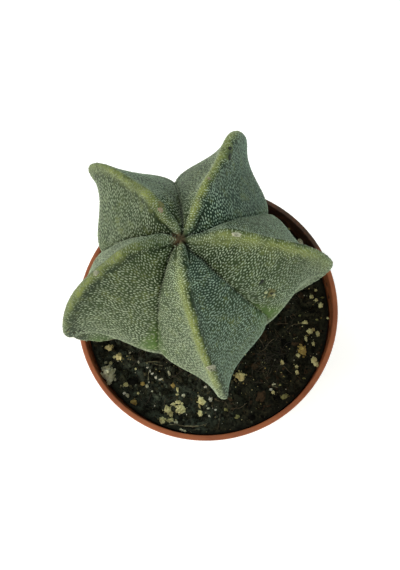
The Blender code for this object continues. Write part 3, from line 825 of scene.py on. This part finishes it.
def faded_around(points, place, width, height):
    """1 at a place, less around it, with its own reach in the level and upright."""
    away = points - place
    return np.exp(-(away[..., 0] ** 2 + away[..., 1] ** 2) / width ** 2 - (away[..., 2] / height) ** 2)


def drift(points):
    """How far points near the crown lie off the straight course of their rib."""
    places, ways = np.split(np.array(DRIFT), 2, axis=1)
    away = points[..., None, :2] - places
    near = np.exp(-(away ** 2).sum(-1) / DRIFT_REACH ** 2)
    moved = near @ ways / (near.sum(-1, keepdims=True) + 0.3) * share(points[..., 2:], 95, 115)
    return np.concatenate([moved, np.zeros_like(moved[..., :1])], axis=-1)


halves = []
for i, rib in enumerate(RIBS):
    own_rounding = rounding * (1 + (TIP_BLUNTNESS[i] - 1) * tip_share)
    halves.append([half_rib(crests[i], rib[0], furrows[i + side - 1], 2 * side - 1, own_rounding,
                            *FLANKS[i][side][:4]) for side in (0, 1)])
for i in range(len(RIBS)):
    seam = (halves[i - 1][1][-1] + halves[i][0][-1]) / 2
    halves[i - 1][1][-1] = halves[i][0][-1] = seam
rib_skins, rib_coats, rib_meshes = [], [], []
for i, rib in enumerate(RIBS):
    skin = np.stack([*halves[i][0][::-1], crests[i], *halves[i][1]], axis=1)
    for place, azimuth, width, height, push in BULGES:
        pushed = faded_around(skin, place, width, height) * push
        skin = skin + pushed[..., None] * outward_and_side(azimuth)[0]
    skin = (skin + drift(skin)) * MM
    rib_skins.append(skin)
    rows, columns = row_count + 2, skin.shape[1]
    closed = np.concatenate([np.tile(crown * MM, (1, columns, 1)), skin, np.tile(root * MM, (1, columns, 1))])
    sheet = added("rib", bpy.ops.mesh.primitive_grid_add, x_subdivisions=columns - 1, y_subdivisions=rows - 1,
                  size=1)
    sheet.data.vertices.foreach_set("co", closed.astype(np.float32).ravel())
    middle = columns // 2
    steps = np.linalg.norm(np.diff(closed, axis=1), axis=2) / MM
    gaps = np.concatenate([np.zeros((rows, 1)), np.cumsum(steps, axis=1)], axis=1)
    across = gaps - gaps[:, middle:middle + 1]
    from_crest = np.abs(across)
    from_furrow = np.minimum(gaps, gaps[:, -1:] - gaps)
    along = np.concatenate([[0], np.cumsum(np.linalg.norm(np.diff(closed[:, middle], axis=0), axis=1))]) / MM
    along = np.tile(along[:, None], (1, columns))
    above_soil = closed[:, :, 2] / MM - SOIL_LEVEL / MM
    sides = (across > 0).astype(int)
    stripe, painted_light_tone, worn_and_lit = np.array(FLANKS[i])[sides][:, :, 5:].transpose(2, 0, 1)
    off_band = across - BAND_MIDDLE[i]
    band_reach = np.array(FLANKS[i])[(off_band > 0).astype(int), 4]
    band = BAND_STRENGTH[i] * np.exp(-(off_band / band_reach) ** 2)
    band = band * (0.4 + 0.6 * share(along, 4, 14)) * (1 - 0.85 * share(along, 50, 58))
    first, last = YELLOW_REACH[i]
    yellow = 0.3 + 0.7 * share(along, first - 8, first + 2) * share(along, last + 8, last - 4)
    fresh_reach = 2 + 5.5 * share(above_soil, 46, 36)
    fresh = np.array(FRESH[i])[sides] * share(from_furrow / fresh_reach, 1.15, 0.1)
    fresh = fresh * np.exp(-((above_soil - 39) / 6.5) ** 2)
    fresh = np.maximum(fresh, 0.7 * faded_around(closed / MM, *(BULGES[0][k] for k in (0, 2, 3))))
    # Painted shade: a dark stripe beside the crest's band, where the raised crest shades the flank
    stripe = stripe * np.exp(-((np.abs(off_band) - band_reach - 0.9) / 1.3) ** 2) * share(along, 2, 8)
    painted_light_tone = painted_light_tone * share(from_crest, 0.3, 1.6)
    near_crown = share(along, 13, 5) * share(from_crest, 3.5, 1.5)
    # Wear with painted light: old skin towards the tips is worn, and the flanks that face the main light are
    # painted paler
    worn_and_lit = worn_and_lit * share(from_crest, 0, 1.5) + OLD_WEAR[i] * share(along, 18, 44) + 0.5 * share(along, 50, 58)
    worn_and_lit = np.maximum(np.clip(worn_and_lit, 0, 1), near_crown)
    # Painted shade in the crease at the bottom of each furrow, stronger near the crown
    crease = share(from_furrow, 1.0, 0.2) * (0.4 + 0.5 * share(along, 60, 10))
    coat = np.stack([band, yellow, fresh, worn_and_lit, stripe, np.maximum(-painted_light_tone, 0), np.maximum(painted_light_tone, 0), crease,
                     across, along], axis=-1)
    rib_coats.append(coat[1:-1])
    for name, channels in (("growth", coat[:, :, :4]), ("painted_light_tone", coat[:, :, 4:8])):
        attribute = sheet.data.attributes.new(name, "FLOAT_COLOR", "POINT")
        attribute.data.foreach_set("color", channels.astype(np.float32).ravel())
    rib_meshes.append(sheet)
alone(rib_meshes[0])
for sheet in rib_meshes:
    sheet.select_set(True)
bpy.ops.object.join()
stem = bpy.context.object
stem.name = "ribbed_stem"
edit_all()
bpy.ops.mesh.remove_doubles(threshold=0.002 * MM)
edit_done()
bpy.ops.object.shade_smooth()

SKIN = (34, 52, 21)
SKIN_DARK = (22, 36, 14)
SKIN_IN_COOL_LIGHT = (30, 51, 38)
SKIN_IN_WARM_LIGHT = (50, 64, 24)
SKIN_WORN_AND_LIT = (74, 88, 61)
CREST_GREEN = (101, 112, 75)
CREST_YELLOW = (121, 131, 68)
YOUNG_GREEN = (82, 114, 40)
CREASE_SHADE = (22, 28, 14)
CROWN_BROWN = (112, 88, 66)
CORK = (132, 104, 74)
CORK_DARK = (84, 62, 44)
skin_finish, tree, shader, place = new_material("flecked_skin", 0.6)
height = node(tree, "ShaderNodeSeparateXYZ", {0: place}).outputs["Z"]
growth, painted_light_tone = (node(tree, "ShaderNodeAttribute", attribute_name=name) for name in ("growth", "painted_light_tone"))
worn_and_lit, crease = growth.outputs["Alpha"], painted_light_tone.outputs["Alpha"]
band, yellow, fresh = node(tree, "ShaderNodeSeparateColor", {0: growth.outputs["Color"]}).outputs
stripe, cool_light, warm_light = node(tree, "ShaderNodeSeparateColor", {0: painted_light_tone.outputs["Color"]}).outputs
fine = blotches(tree, place, 3 * MM, 4.0, 0.6)
patches = ramp(tree, blotches(tree, place, 9 * MM), 0.25, 0.55)
wobble = ramp(tree, fine, 0.3, 0.7, -0.42, 0.42)
# Painted light: the skin is bluish where the cool light from the right falls, and olive where the warm light from
# the left falls
color = blend(tree, times(tree, cool_light, patches), SKIN, SKIN_IN_COOL_LIGHT)
color = blend(tree, times(tree, warm_light, patches), color, SKIN_IN_WARM_LIGHT)
# Painted light and wear: paler skin where a flank faces the main light, and where it is worn
color = blend(tree, times(tree, worn_and_lit, ramp(tree, fine, 0.3, 0.65, 0.6, 1)), color, SKIN_WORN_AND_LIT)
color = blend(tree, ramp(tree, blotches(tree, place, 1.6 * MM, 4.0), 0.42, 0.7, 0, 0.5), color, SKIN_DARK)
# Painted shade of the crest: the dark stripe beside it
color = blend(tree, times(tree, stripe, ramp(tree, fine, 0.3, 0.6, 0.4, 0.9)), color, SKIN_DARK)
yellow = times(tree, yellow, ramp(tree, blotches(tree, place, 5 * MM), 0.3, 0.6, 0.4, 1))
crest = blend(tree, yellow, CREST_GREEN, CREST_YELLOW)
crest = blend(tree, ramp(tree, blotches(tree, place, 0.9 * MM, 4.0, 0.7), 0.45, 0.68, 0, 0.4), crest, SKIN)
color = blend(tree, ramp(tree, times(tree, band, wobble, "ADD"), 0.05, 0.95), color, crest)
color = blend(tree, times(tree, fresh, ramp(tree, fine, 0.25, 0.5, 0.45, 1)), color, YOUNG_GREEN)
# Painted shade in the furrows' creases
color = blend(tree, crease, color, CREASE_SHADE)
old_wool = tuple((crown + (-0.8, 0, 0)) * MM)
brown = times(tree, ramp(tree, away_from(tree, place, old_wool), 2.6 * MM, 0.9 * MM, 0, 0.8),
              ramp(tree, fine, 0.3, 0.55, 0.3, 1))
color = blend(tree, brown, color, CROWN_BROWN)
cork_edge = times(tree, height, ramp(tree, blotches(tree, place, 5 * MM, 5.0, 0.6), 0.3, 0.7, -4 * MM, 4 * MM),
                  "ADD")
cork = blend(tree, ramp(tree, blotches(tree, place, 1.5 * MM, 4.0), 0.4, 0.65), CORK, CORK_DARK)
color = blend(tree, ramp(tree, cork_edge, SOIL_LEVEL + 6 * MM, SOIL_LEVEL + 3.5 * MM), color, cork)
painted(tree, shader, color, 0.2)
relief(tree, shader, place, 0.45 * MM, 0.08 * MM, 3.0, 0.6)
settle(stem, "flecked_skin", skin_finish, "stem")

# Flecks: tiny tufts of white scales that grow all over the skin. On the flanks they are short dabs that
# lie across the rib, on the crests they are thinner and yellow, and the young skin low in a furrow is bare.
TRIES = 10                       # candidates for each place
SETTLING = 5                     # rounds in which neighbours even out their distances
NEIGHBOURS = 8                   # that push a fleck away in each round
PUSH_SHARE = 0.3                 # how much of the push a fleck follows
PUSH_REACH = 1.5                 # in gaps between flecks
FLECK_GAP = 0.73                 # in millimetres, between the middles of two neighbours at least
FLECK_WIDTH = (0.40, 0.52)
FLECK_LENGTH = (0.65, 1.5)
STREAK_WIDTH = 0.32              # of the thin ones on the crests
STREAK_LENGTH = (0.5, 1.1)
STREAK_TURN = 1.15               # out of the direction across the rib
FLECK_HEIGHT = 0.13
FLECK_PALE = (166, 179, 151)
FLECK_IN_COOL_LIGHT = (150, 169, 149)
FLECK_CREST = (152, 161, 114)
FLECK_CORK = (150, 132, 96)
ALONG_FLECK = 1.25               # neighbours stand further apart along a fleck than beside it
BESIDE_FLECK = 0.82
WORN_AND_LIT_FLECK = 0.98                # size and distance of flecks on worn skin and on skin painted paler as if lit
YOUNG_FLECK = 0.8                # and near the crown
CREST_FLECK = 0.8
LEAN_SPREAD = 0.8                # how much the way they lean wanders from straight across the rib


def frames_on(skin):
    """Outward normal, direction across the rib and direction down it at each point of its grid."""
    across = unit(np.gradient(skin, axis=1))
    down = np.gradient(skin, axis=0)
    normal = unit(np.cross(down, across))
    return normal, across, np.cross(across, normal)


def picked(grid, spots):
    """Values of a grid between its points, at pairs of row and column."""
    row, column = np.minimum(spots.astype(int), np.array(grid.shape[:2]) - 2).T
    u, v = (spots - np.stack([row, column], axis=1)).T.reshape(2, -1, *[1] * (grid.ndim - 2))
    return ((1 - u) * ((1 - v) * grid[row, column] + v * grid[row, column + 1])
            + u * ((1 - v) * grid[row + 1, column] + v * grid[row + 1, column + 1]))


def spread_on(skin, lean, fineness, gap, chance):
    """Evenly spread random places on a rib's grid, further apart along the way that flecks lean there."""
    a, b, c, d = skin[:-1, :-1], skin[:-1, 1:], skin[1:, 1:], skin[1:, :-1]
    area = np.linalg.norm(np.cross(c - a, d - b), axis=2) / 2
    area[(a + c)[:, :, 2] / 2 < SOIL_LEVEL] = 0
    number = int(area.sum() / gap ** 2 * TRIES)
    cells = chance.choice(area.size, number, p=area.ravel() / area.sum())
    spots = np.stack(np.divmod(cells, area.shape[1]), axis=1) + chance.random((number, 2))
    _, across, down = frames_on(skin)
    forward = (np.cos(lean)[:, :, None] * across + np.sin(lean)[:, :, None] * down) / fineness[:, :, None]
    sideways = (np.cos(lean)[:, :, None] * down - np.sin(lean)[:, :, None] * across) / fineness[:, :, None]
    row_step, column_step = np.gradient(skin, axis=0), np.gradient(skin, axis=1)

    def measured():
        points = picked(skin, spots)
        tree = kdtree.KDTree(len(points))
        for i, point in enumerate(points):
            tree.insert(point, i)
        tree.balance()
        return points, tree, picked(forward, spots) / ALONG_FLECK, picked(sideways, spots) / BESIDE_FLECK

    points, tree, long, short = measured()
    free = np.ones(number, bool)
    kept = []
    for i in range(number):
        if free[i]:
            kept.append(i)
            near = np.array([other for _, other, _ in tree.find_range(points[i], gap * ALONG_FLECK)])
            away = points[near] - points[i]
            free[near[(away @ long[i]) ** 2 + (away @ short[i]) ** 2 < gap ** 2]] = False
    spots = spots[kept]
    limit = np.array(skin.shape[:2]) - 1.001
    for _ in range(SETTLING):
        points, tree, long, short = measured()
        near = np.array([[other for _, other, _ in tree.find_n(point, NEIGHBOURS)] for point in points])
        away = points[:, None] - points[near]
        apart = np.hypot((away * long[:, None]).sum(2), (away * short[:, None]).sum(2)) / gap
        push = (np.clip(PUSH_REACH - apart, 0, 1) / np.maximum(apart, 0.1))[:, :, None] * away
        push = PUSH_SHARE * push.sum(axis=1)
        r, c = picked(row_step, spots), picked(column_step, spots)
        rr, rc, cc = (r * r).sum(1), (r * c).sum(1), (c * c).sum(1)
        pr, pc = (push * r).sum(1), (push * c).sum(1)
        even = np.maximum(rr * cc - rc ** 2, 1e-20)
        step = np.stack([(cc * pr - rc * pc) / even, (rr * pc - rc * pr) / even], axis=1)
        spots = np.clip(spots + np.clip(step, -1.5, 1.5), 0, limit)
    return spots


def soft_noise(points, size, offset):
    return np.array([noise.noise(Vector(p) / size + Vector((offset, 0, 0))) for p in points])


def mixed(tints, color, amount):
    """Tints drawn towards a colour, each by its own amount."""
    return tints * (1 - amount) + np.array(srgb(color)) * amount


fleck_coat, tree, shader, place, color = tinted_material(
    "fleck_scales", 0.95, SKIN, 0.5 * MM, (0.35, 0.65, 0.25, 0), mode="MULTIPLY")
painted(tree, shader, color, 0.2)

WOUNDS = (                       # middle and radius of patches that are bare
    ((18.1, -10.8, 115.4), 1.7), ((16.4, -8.6, 120.1), 1.0), ((17.3, 27.2, 127.6), 1.1))
CREST_LIGHT = (1.2, 1.3, 0.8, 0.8, 1.2)      # how pale the flecks are on each crest
LIGHT_SPOTS = (                  # and around some places: middle, reach, share more
    ((-5.5, -4.2, 133.6), 5.0, 0.45), ((9.6, 10.6, 130.3), 4.5, 0.8), ((29.0, -5.6, 119.0), 7.5, -0.3),
    ((20.5, 12.5, 128.5), 9.0, -0.12), ((21.2, 21.5, 116.8), 9.0, -0.22), ((-12.9, 1.0, 129.9), 5.0, -0.3),
    ((-14.0, 20.0, 125.2), 7.0, -0.15), ((-20.7, -3.7, 120.8), 7.0, -0.15),
)
chance = np.random.default_rng(8)
for i, (skin, coat) in enumerate(zip(rib_skins, rib_coats)):
    lean = LEAN_SPREAD * soft_noise(skin.reshape(-1, 3), 7 * MM, 20).reshape(skin.shape[:2])
    fineness = 1.0
    for size, amount in ((WORN_AND_LIT_FLECK, coat[:, :, WORN_AND_LIT]), (CREST_FLECK, coat[:, :, BAND]),
                         (YOUNG_FLECK, share(coat[:, :, ALONG], 26, 8))):
        fineness = fineness * (1 - (1 - size) * amount)
    spots = spread_on(skin, lean, fineness, FLECK_GAP * MM, chance)
    points = picked(skin, spots)
    normal, across, down = (unit(picked(grid, spots)) for grid in frames_on(skin))
    band, yellow, fresh, _, stripe, cool_light, _, _, off_crest, along = picked(coat, spots).T
    on_crest = 0.5 * share(band, 0.4, 0.8) * share(along, 6, 14)
    patchy = soft_noise(points, 6 * MM, 7)
    low = np.clip((SOIL_LEVEL + 9 * MM - points[:, 2]) / (8 * MM), 0, 1)
    bare = np.maximum.reduce((0.9 * fresh, stripe * 0.45, low * 0.7, patchy * 0.25))
    keep = chance.random(len(points)) > bare
    for middle, radius in WOUNDS:
        keep &= np.linalg.norm(points / MM - middle, axis=1) > radius
    count = len(points)
    swell = chance.uniform(0.85, 1.15, count) * (1 - 0.3 * stripe) * picked(fineness, spots)
    streak = chance.random(count) < on_crest
    width = np.where(streak, STREAK_WIDTH, chance.uniform(*FLECK_WIDTH, count)) * swell
    shortest, longest = FLECK_LENGTH
    length = np.where(streak, chance.uniform(*STREAK_LENGTH, count),
                      shortest + (longest - shortest) * chance.random(count) ** 1.4) * swell
    turn = np.where(streak, STREAK_TURN * np.sign(off_crest) + chance.normal(0, 0.25, count),
                    picked(lean, spots) + chance.normal(0, 0.25, count))
    forward = np.cos(turn)[:, None] * across + np.sin(turn)[:, None] * down
    sideways = np.cross(normal, forward)
    height = FLECK_HEIGHT * chance.uniform(0.8, 1.2, count)
    places = np.zeros((count, 4, 4))
    places[:, :3, 0] = forward * length[:, None] * MM
    places[:, :3, 1] = sideways * width[:, None] * MM
    places[:, :3, 2] = normal * 2 * height[:, None] * MM
    places[:, :3, 3] = points
    places[:, 3, 3] = 1
    corky = np.clip((SOIL_LEVEL + 5 * MM - points[:, 2]) / (5 * MM), 0, 1)[:, None]
    yellow = np.clip(band * (0.5 + 0.5 * yellow) * (0.4 + 0.6 * share(along, 6, 18)) + fresh, 0, 1)[:, None]
    yellow = yellow * chance.uniform(0.6, 1.0, (count, 1))
    # Painted light: flecks on the flanks in the cool light are tinted bluish
    tints = mixed(np.array(srgb(FLECK_PALE)), FLECK_IN_COOL_LIGHT, cool_light[:, None])
    tints = mixed(mixed(tints, FLECK_CREST, yellow), FLECK_CORK, corky)
    light = 1 + (CREST_LIGHT[i] - 1) * band
    for middle, reach, more in LIGHT_SPOTS:
        light += more * faded_around(points / MM, middle, reach, reach)
    tints[:, :3] *= light[:, None] * chance.uniform(0.70, 1.09, (count, 1))
    flecks = copies(f"flecks_rib_{i + 1}", [bead("fleck")], places[keep], tints[keep])
    settle(flecks, "flecked_skin", fleck_coat)

# Areoles: woolly cushions on the crest of each rib, one behind the other. The young ones near the crown
# are full of wool, the old ones further down have weathered to a faint dry pad.
AREOLE_STEP = 7.4                # in millimetres along the crest
AREOLES_EACH_WAY = 8             # at most, from the one that stands out
AREOLE_SIZE = 1.5
WOOL_PALE = (184, 182, 162)
WOOL_WHITE = (208, 206, 180)
WOOL_PINK = (176, 138, 114)
AREOLES = (      # of each rib, the one that stands out: place along and off the crest, size, length, colour
    (16.0, -1.0, 0.75, 2.2, WOOL_WHITE),
    (18.0, 0.0, 0.6, 0.8, WOOL_PINK),
    (9.2, 0.4, 0.75, 1.3, WOOL_PINK),
    (26.8, 0.0, 0.95, 1.0, WOOL_WHITE),
    (40.6, 0.0, 1.6, 0.5, WOOL_WHITE),
)
WOOL_OLD = (134, 140, 100)
WOOL_BROWN = (98, 84, 56)
HAIRS = 36
CROWN_HAIRS = 70
CROWN_LIFT = 0.8 * MM            # from the middle of the crown's pit to the wool in it


def frame_at(i, row, column):
    return rib_skins[i][row, column], [grid[row, column] for grid in rib_frames[i]]


def on_crest_line(i, along, across):
    """Place and frame of a point on a rib, by its distances along and off the crest in millimetres."""
    middle = rib_skins[i].shape[1] // 2
    row = int(np.searchsorted(rib_coats[i][:, middle, ALONG], along))
    return frame_at(i, row, int(np.searchsorted(rib_coats[i][row, :, ACROSS], across)))


def standing(point, frame, width, depth, height, sink, turn=0.0):
    """Place of a lump that stands on the skin, turned about the skin's normal."""
    normal, across, down = (Vector(axis) for axis in frame)
    base = Matrix.Identity(4)
    for k, axis in enumerate((down, across, normal)):
        base.col[k] = (*axis, 0)
    base.col[3] = (*(Vector(point) - normal * sink), 1)
    return base @ Matrix.Rotation(turn, 4, "Z") @ Matrix.Diagonal((width, depth, height, 1))


rib_frames = [frames_on(skin) for skin in rib_skins]
draw = random.Random(17)
pads, pad_tints, hairs, hair_tints = [], [], [], []
for i, (shown, off_crest, shown_size, shown_length, color) in enumerate(AREOLES):
    for k in range(-AREOLES_EACH_WAY, AREOLES_EACH_WAY + 1):
        along = shown + AREOLE_STEP * k
        if along < 3:
            continue
        point, frame = on_crest_line(i, along, 0 if k else off_crest)
        if point[2] < SOIL_LEVEL + 12 * MM:
            continue
        size = AREOLE_SIZE * (draw.uniform(0.35, 0.5) if k else shown_size) * MM
        pads.append(standing(point, frame, size * (0.8 if k else shown_length), size, size * 0.25, 0,
                             draw.uniform(-0.4, 0.4) if k else 0))
        pad_tints.append(srgb(WOOL_OLD if k else color))
        for _ in range(HAIRS // 3 if k else HAIRS):
            lean = draw.uniform(0.9, 1.5)
            turn = draw.uniform(0, 2 * math.pi)
            length = size * draw.uniform(0.3, 0.6)
            at = standing(point, frame, 1, 1, 1, 0, turn) @ Matrix.Translation(
                (size * draw.uniform(0, 0.3), 0, size * 0.1))
            hairs.append(at @ Matrix.Rotation(lean - math.pi / 2, 4, "Y") @ Matrix.Diagonal((length,) * 3 + (1,)))
            hair_tints.append(srgb(WOOL_OLD if k else WOOL_PALE))

crown_point = Vector(crown * MM) + Vector((0, 0, CROWN_LIFT))
for _ in range(CROWN_HAIRS):
    turn = Matrix.Rotation(draw.uniform(0, 2 * math.pi), 4, "Z")
    lean = Matrix.Rotation(-draw.uniform(0.5, 1.5), 4, "Y")
    length = draw.uniform(0.4, 0.9) * MM
    hairs.append(Matrix.Translation(crown_point) @ turn @ Matrix.Translation((0.3 * MM, 0, 0)) @ lean
                 @ Matrix.Diagonal((length,) * 3 + (1,)))
    hair_tints.append(srgb(WOOL_BROWN))
areole_pads = copies("areole_pads", [lump("pad", 0.13, seed, 2, 0.08) for seed in (31, 33)], pads, pad_tints)
areole_wool = copies("areole_wool", [strand("hair", draw, 4, 0.7, 0.13) for _ in range(2)], hairs, hair_tints)

wool, tree, shader, place, color = tinted_material(
    "areole_wool", 1.0, SKIN_WORN_AND_LIT, 0.4 * MM, (0.35, 0.65, 0.5, 0), 4.0, 0.7)
painted(tree, shader, color)
relief(tree, shader, place, 0.2 * MM, 0.1 * MM)
settle(areole_pads, "flecked_skin", wool)
settle(areole_wool, "flecked_skin", wool)

# Blemishes: a corky scar, brown spots and a few dark pits where the skin was hurt. It has healed under dry
# scabs, which lie on it as small lumps.
SCAR_PALE = (178, 182, 140)
SCAR_BROWN = (110, 108, 62)
SCAR_DARK = (34, 34, 14)
PIT_DARK = (11, 19, 7)
BLEMISHES = (                    # place, width and length across and down the rib, and height; colour
    ((18.1, -10.8, 115.6), 2.6, 2.4, 0.35, SCAR_BROWN), ((18.1, -10.8, 115.6), 1.1, 1.5, 0.62, SCAR_DARK),
    ((19.1, -10.9, 114.8), 1.0, 1.2, 0.95, SCAR_PALE), ((18.0, -10.1, 116.7), 1.0, 0.55, 0.70, SCAR_PALE),
    ((18.8, -10.2, 116.3), 1.1, 0.9, 0.70, SCAR_BROWN), ((17.0, -10.7, 116.3), 1.1, 1.2, 0.75, SCAR_PALE),
    ((18.5, -11.5, 114.0), 1.0, 0.5, 0.55, SCAR_PALE), ((19.1, -11.4, 113.9), 0.6, 0.6, 0.55, SCAR_BROWN),
    ((17.4, -11.3, 115.0), 0.9, 0.7, 0.50, SCAR_BROWN), ((16.3, -11.1, 115.9), 0.9, 0.6, 0.45, SCAR_PALE),
    ((16.4, -8.6, 120.1), 1.5, 1.1, 0.30, PIT_DARK), ((15.6, -8.4, 120.6), 1.1, 0.9, 0.30, PIT_DARK),
    ((17.1, 26.3, 127.8), 1.3, 2.2, 0.30, PIT_DARK), ((17.6, 28.2, 127.5), 1.0, 1.7, 0.30, PIT_DARK),
    ((-36.7, -5.0, 107.6), 1.3, 0.9, 0.30, PIT_DARK), ((-38.6, -4.1, 110.3), 0.8, 1.2, 0.25, SCAR_DARK),
    ((-39.3, -3.4, 108.0), 1.1, 0.9, 0.25, SCAR_BROWN), ((-37.8, -4.9, 106.6), 1.5, 0.9, 0.25, SCAR_DARK),
    ((-38.9, -4.6, 106.2), 1.2, 0.8, 0.25, SCAR_BROWN), ((-35.9, -5.9, 106.6), 1.2, 0.8, 0.25, SCAR_DARK),
    ((-4.3, 14.8, 135.0), 1.5, 2.4, 0.20, SCAR_BROWN),
)
marks, mark_tints = [], []
for spot, width, depth, height, color in BLEMISHES:
    spot = np.array(spot) * MM
    distances = [np.linalg.norm(skin - spot, axis=2) for skin in rib_skins]
    i = int(np.argmin([d.min() for d in distances]))
    row, column = np.unravel_index(distances[i].argmin(), distances[i].shape)
    point, frame = frame_at(i, row, column)
    marks.append(standing(point, frame, depth * MM, width * MM, height * MM, 0, draw.uniform(-0.5, 0.5)))
    mark_tints.append(srgb(color))
blemishes = copies("blemishes", [lump("mark", 0.1, seed, 2, 0.03) for seed in (41, 43)], marks, mark_tints)

scab, tree, shader, place, color = tinted_material(
    "corky_scab", 0.85, SCAR_DARK, 0.6 * MM, (0.4, 0.65, 0, 0.7), 4.0, 0.7)
painted(tree, shader, color)
relief(tree, shader, place, 0.25 * MM, 0.1 * MM)
settle(blemishes, "flecked_skin", scab)

# Floor: a plain white table under the pot, wide enough that its edge is out of sight. It glows a little, as
# white paper does in a bright room, and is no part of the plant.
TABLE_SIZE = 60                  # in metres
TABLE_WHITE = (0.9, 0.9, 0.9, 1)
TABLE_GLOW = 0.35
floor = added("floor", bpy.ops.mesh.primitive_plane_add, size=TABLE_SIZE)
paper, _, shader, _ = new_material("white_table", 0.9)
shader.inputs["Base Color"].default_value = TABLE_WHITE
shader.inputs["Emission Color"].default_value = (1, 1, 1, 1)
shader.inputs["Emission Strength"].default_value = TABLE_GLOW
floor.data.materials.append(paper)

# Light: soft lights all round the plant in a dim white room, the strongest of them on the left. They are wide
# discs that face the plant, so its shadows have no sharp edge.
ROOM_STRENGTH = 0.12
LIGHT_SIZE = 0.7
LIT_POINT = Vector((0, 0, 0.1))
world = bpy.data.worlds.new("room")
bpy.context.scene.world = world
world.use_nodes = True
world.node_tree.nodes["Background"].inputs["Color"].default_value = (1, 1, 1, 1)
world.node_tree.nodes["Background"].inputs["Strength"].default_value = ROOM_STRENGTH
LIGHTS = (                       # place of each soft light, its power in watts and its colour
    ((-1.0, -0.05, 0.55), 7.6, (1.0, 0.92, 0.84)),
    ((-0.8, 0.7, 0.6), 5.2, (0.84, 0.97, 1.0)),
    ((-0.75, -0.75, 0.6), 4.2, (0.95, 1.0, 0.85)),
    ((1.0, 0.0, 0.55), 5.7, (0.82, 1.0, 0.97)),
    ((0.1, 1.0, 0.55), 2.4, (1.0, 1.0, 0.95)),
    ((0.1, -1.0, 0.55), 3.2, (1.0, 1.0, 0.95)),
    ((-0.1, 0.0, 1.3), 2.2, (1.0, 0.97, 0.95)),
)
for i, (place, power, color) in enumerate(LIGHTS):
    lamp = bpy.data.lights.new(f"soft_light_{i + 1}", "AREA")
    lamp.shape = "DISK"
    lamp.size = LIGHT_SIZE
    lamp.energy = power
    lamp.color = color
    obj = bpy.data.objects.new(lamp.name, lamp)
    obj.location = place
    obj.rotation_euler = (LIT_POINT - Vector(place)).to_track_quat("-Z", "Y").to_euler()
    bpy.context.scene.collection.objects.link(obj)

# Camera: held above the plant and a little in front of it, turned slightly to the left. Its distance, tilt
# and lens follow from how round and how large the pot's rim is seen.
CAMERA_DISTANCE = 260 * MM
CAMERA_AIM = Vector((0, 8.1, 75)) * MM
CAMERA_ELEVATION = math.radians(74.5)
CAMERA_ROLL = math.radians(-15.2)
CAMERA_LENS = 49.98              # in millimetres, for a sensor of the width below
SENSOR_WIDTH = 36
back = Vector((0, -math.cos(CAMERA_ELEVATION), math.sin(CAMERA_ELEVATION)))
right = Vector((1, 0, 0))
up = back.cross(right)
camera_x = right * math.cos(CAMERA_ROLL) + up * math.sin(CAMERA_ROLL)
camera_y = up * math.cos(CAMERA_ROLL) - right * math.sin(CAMERA_ROLL)
lens = bpy.data.cameras.new("camera")
lens.lens = CAMERA_LENS
lens.sensor_width = SENSOR_WIDTH
lens.clip_start = 0.01
camera = bpy.data.objects.new("camera", lens)
turned = Matrix((camera_x, camera_y, back)).transposed().to_4x4()
camera.matrix_world = Matrix.Translation(CAMERA_AIM + back * CAMERA_DISTANCE) @ turned
bpy.context.scene.collection.objects.link(camera)
bpy.context.scene.camera = camera
bpy.context.scene.view_settings.view_transform = "Standard"
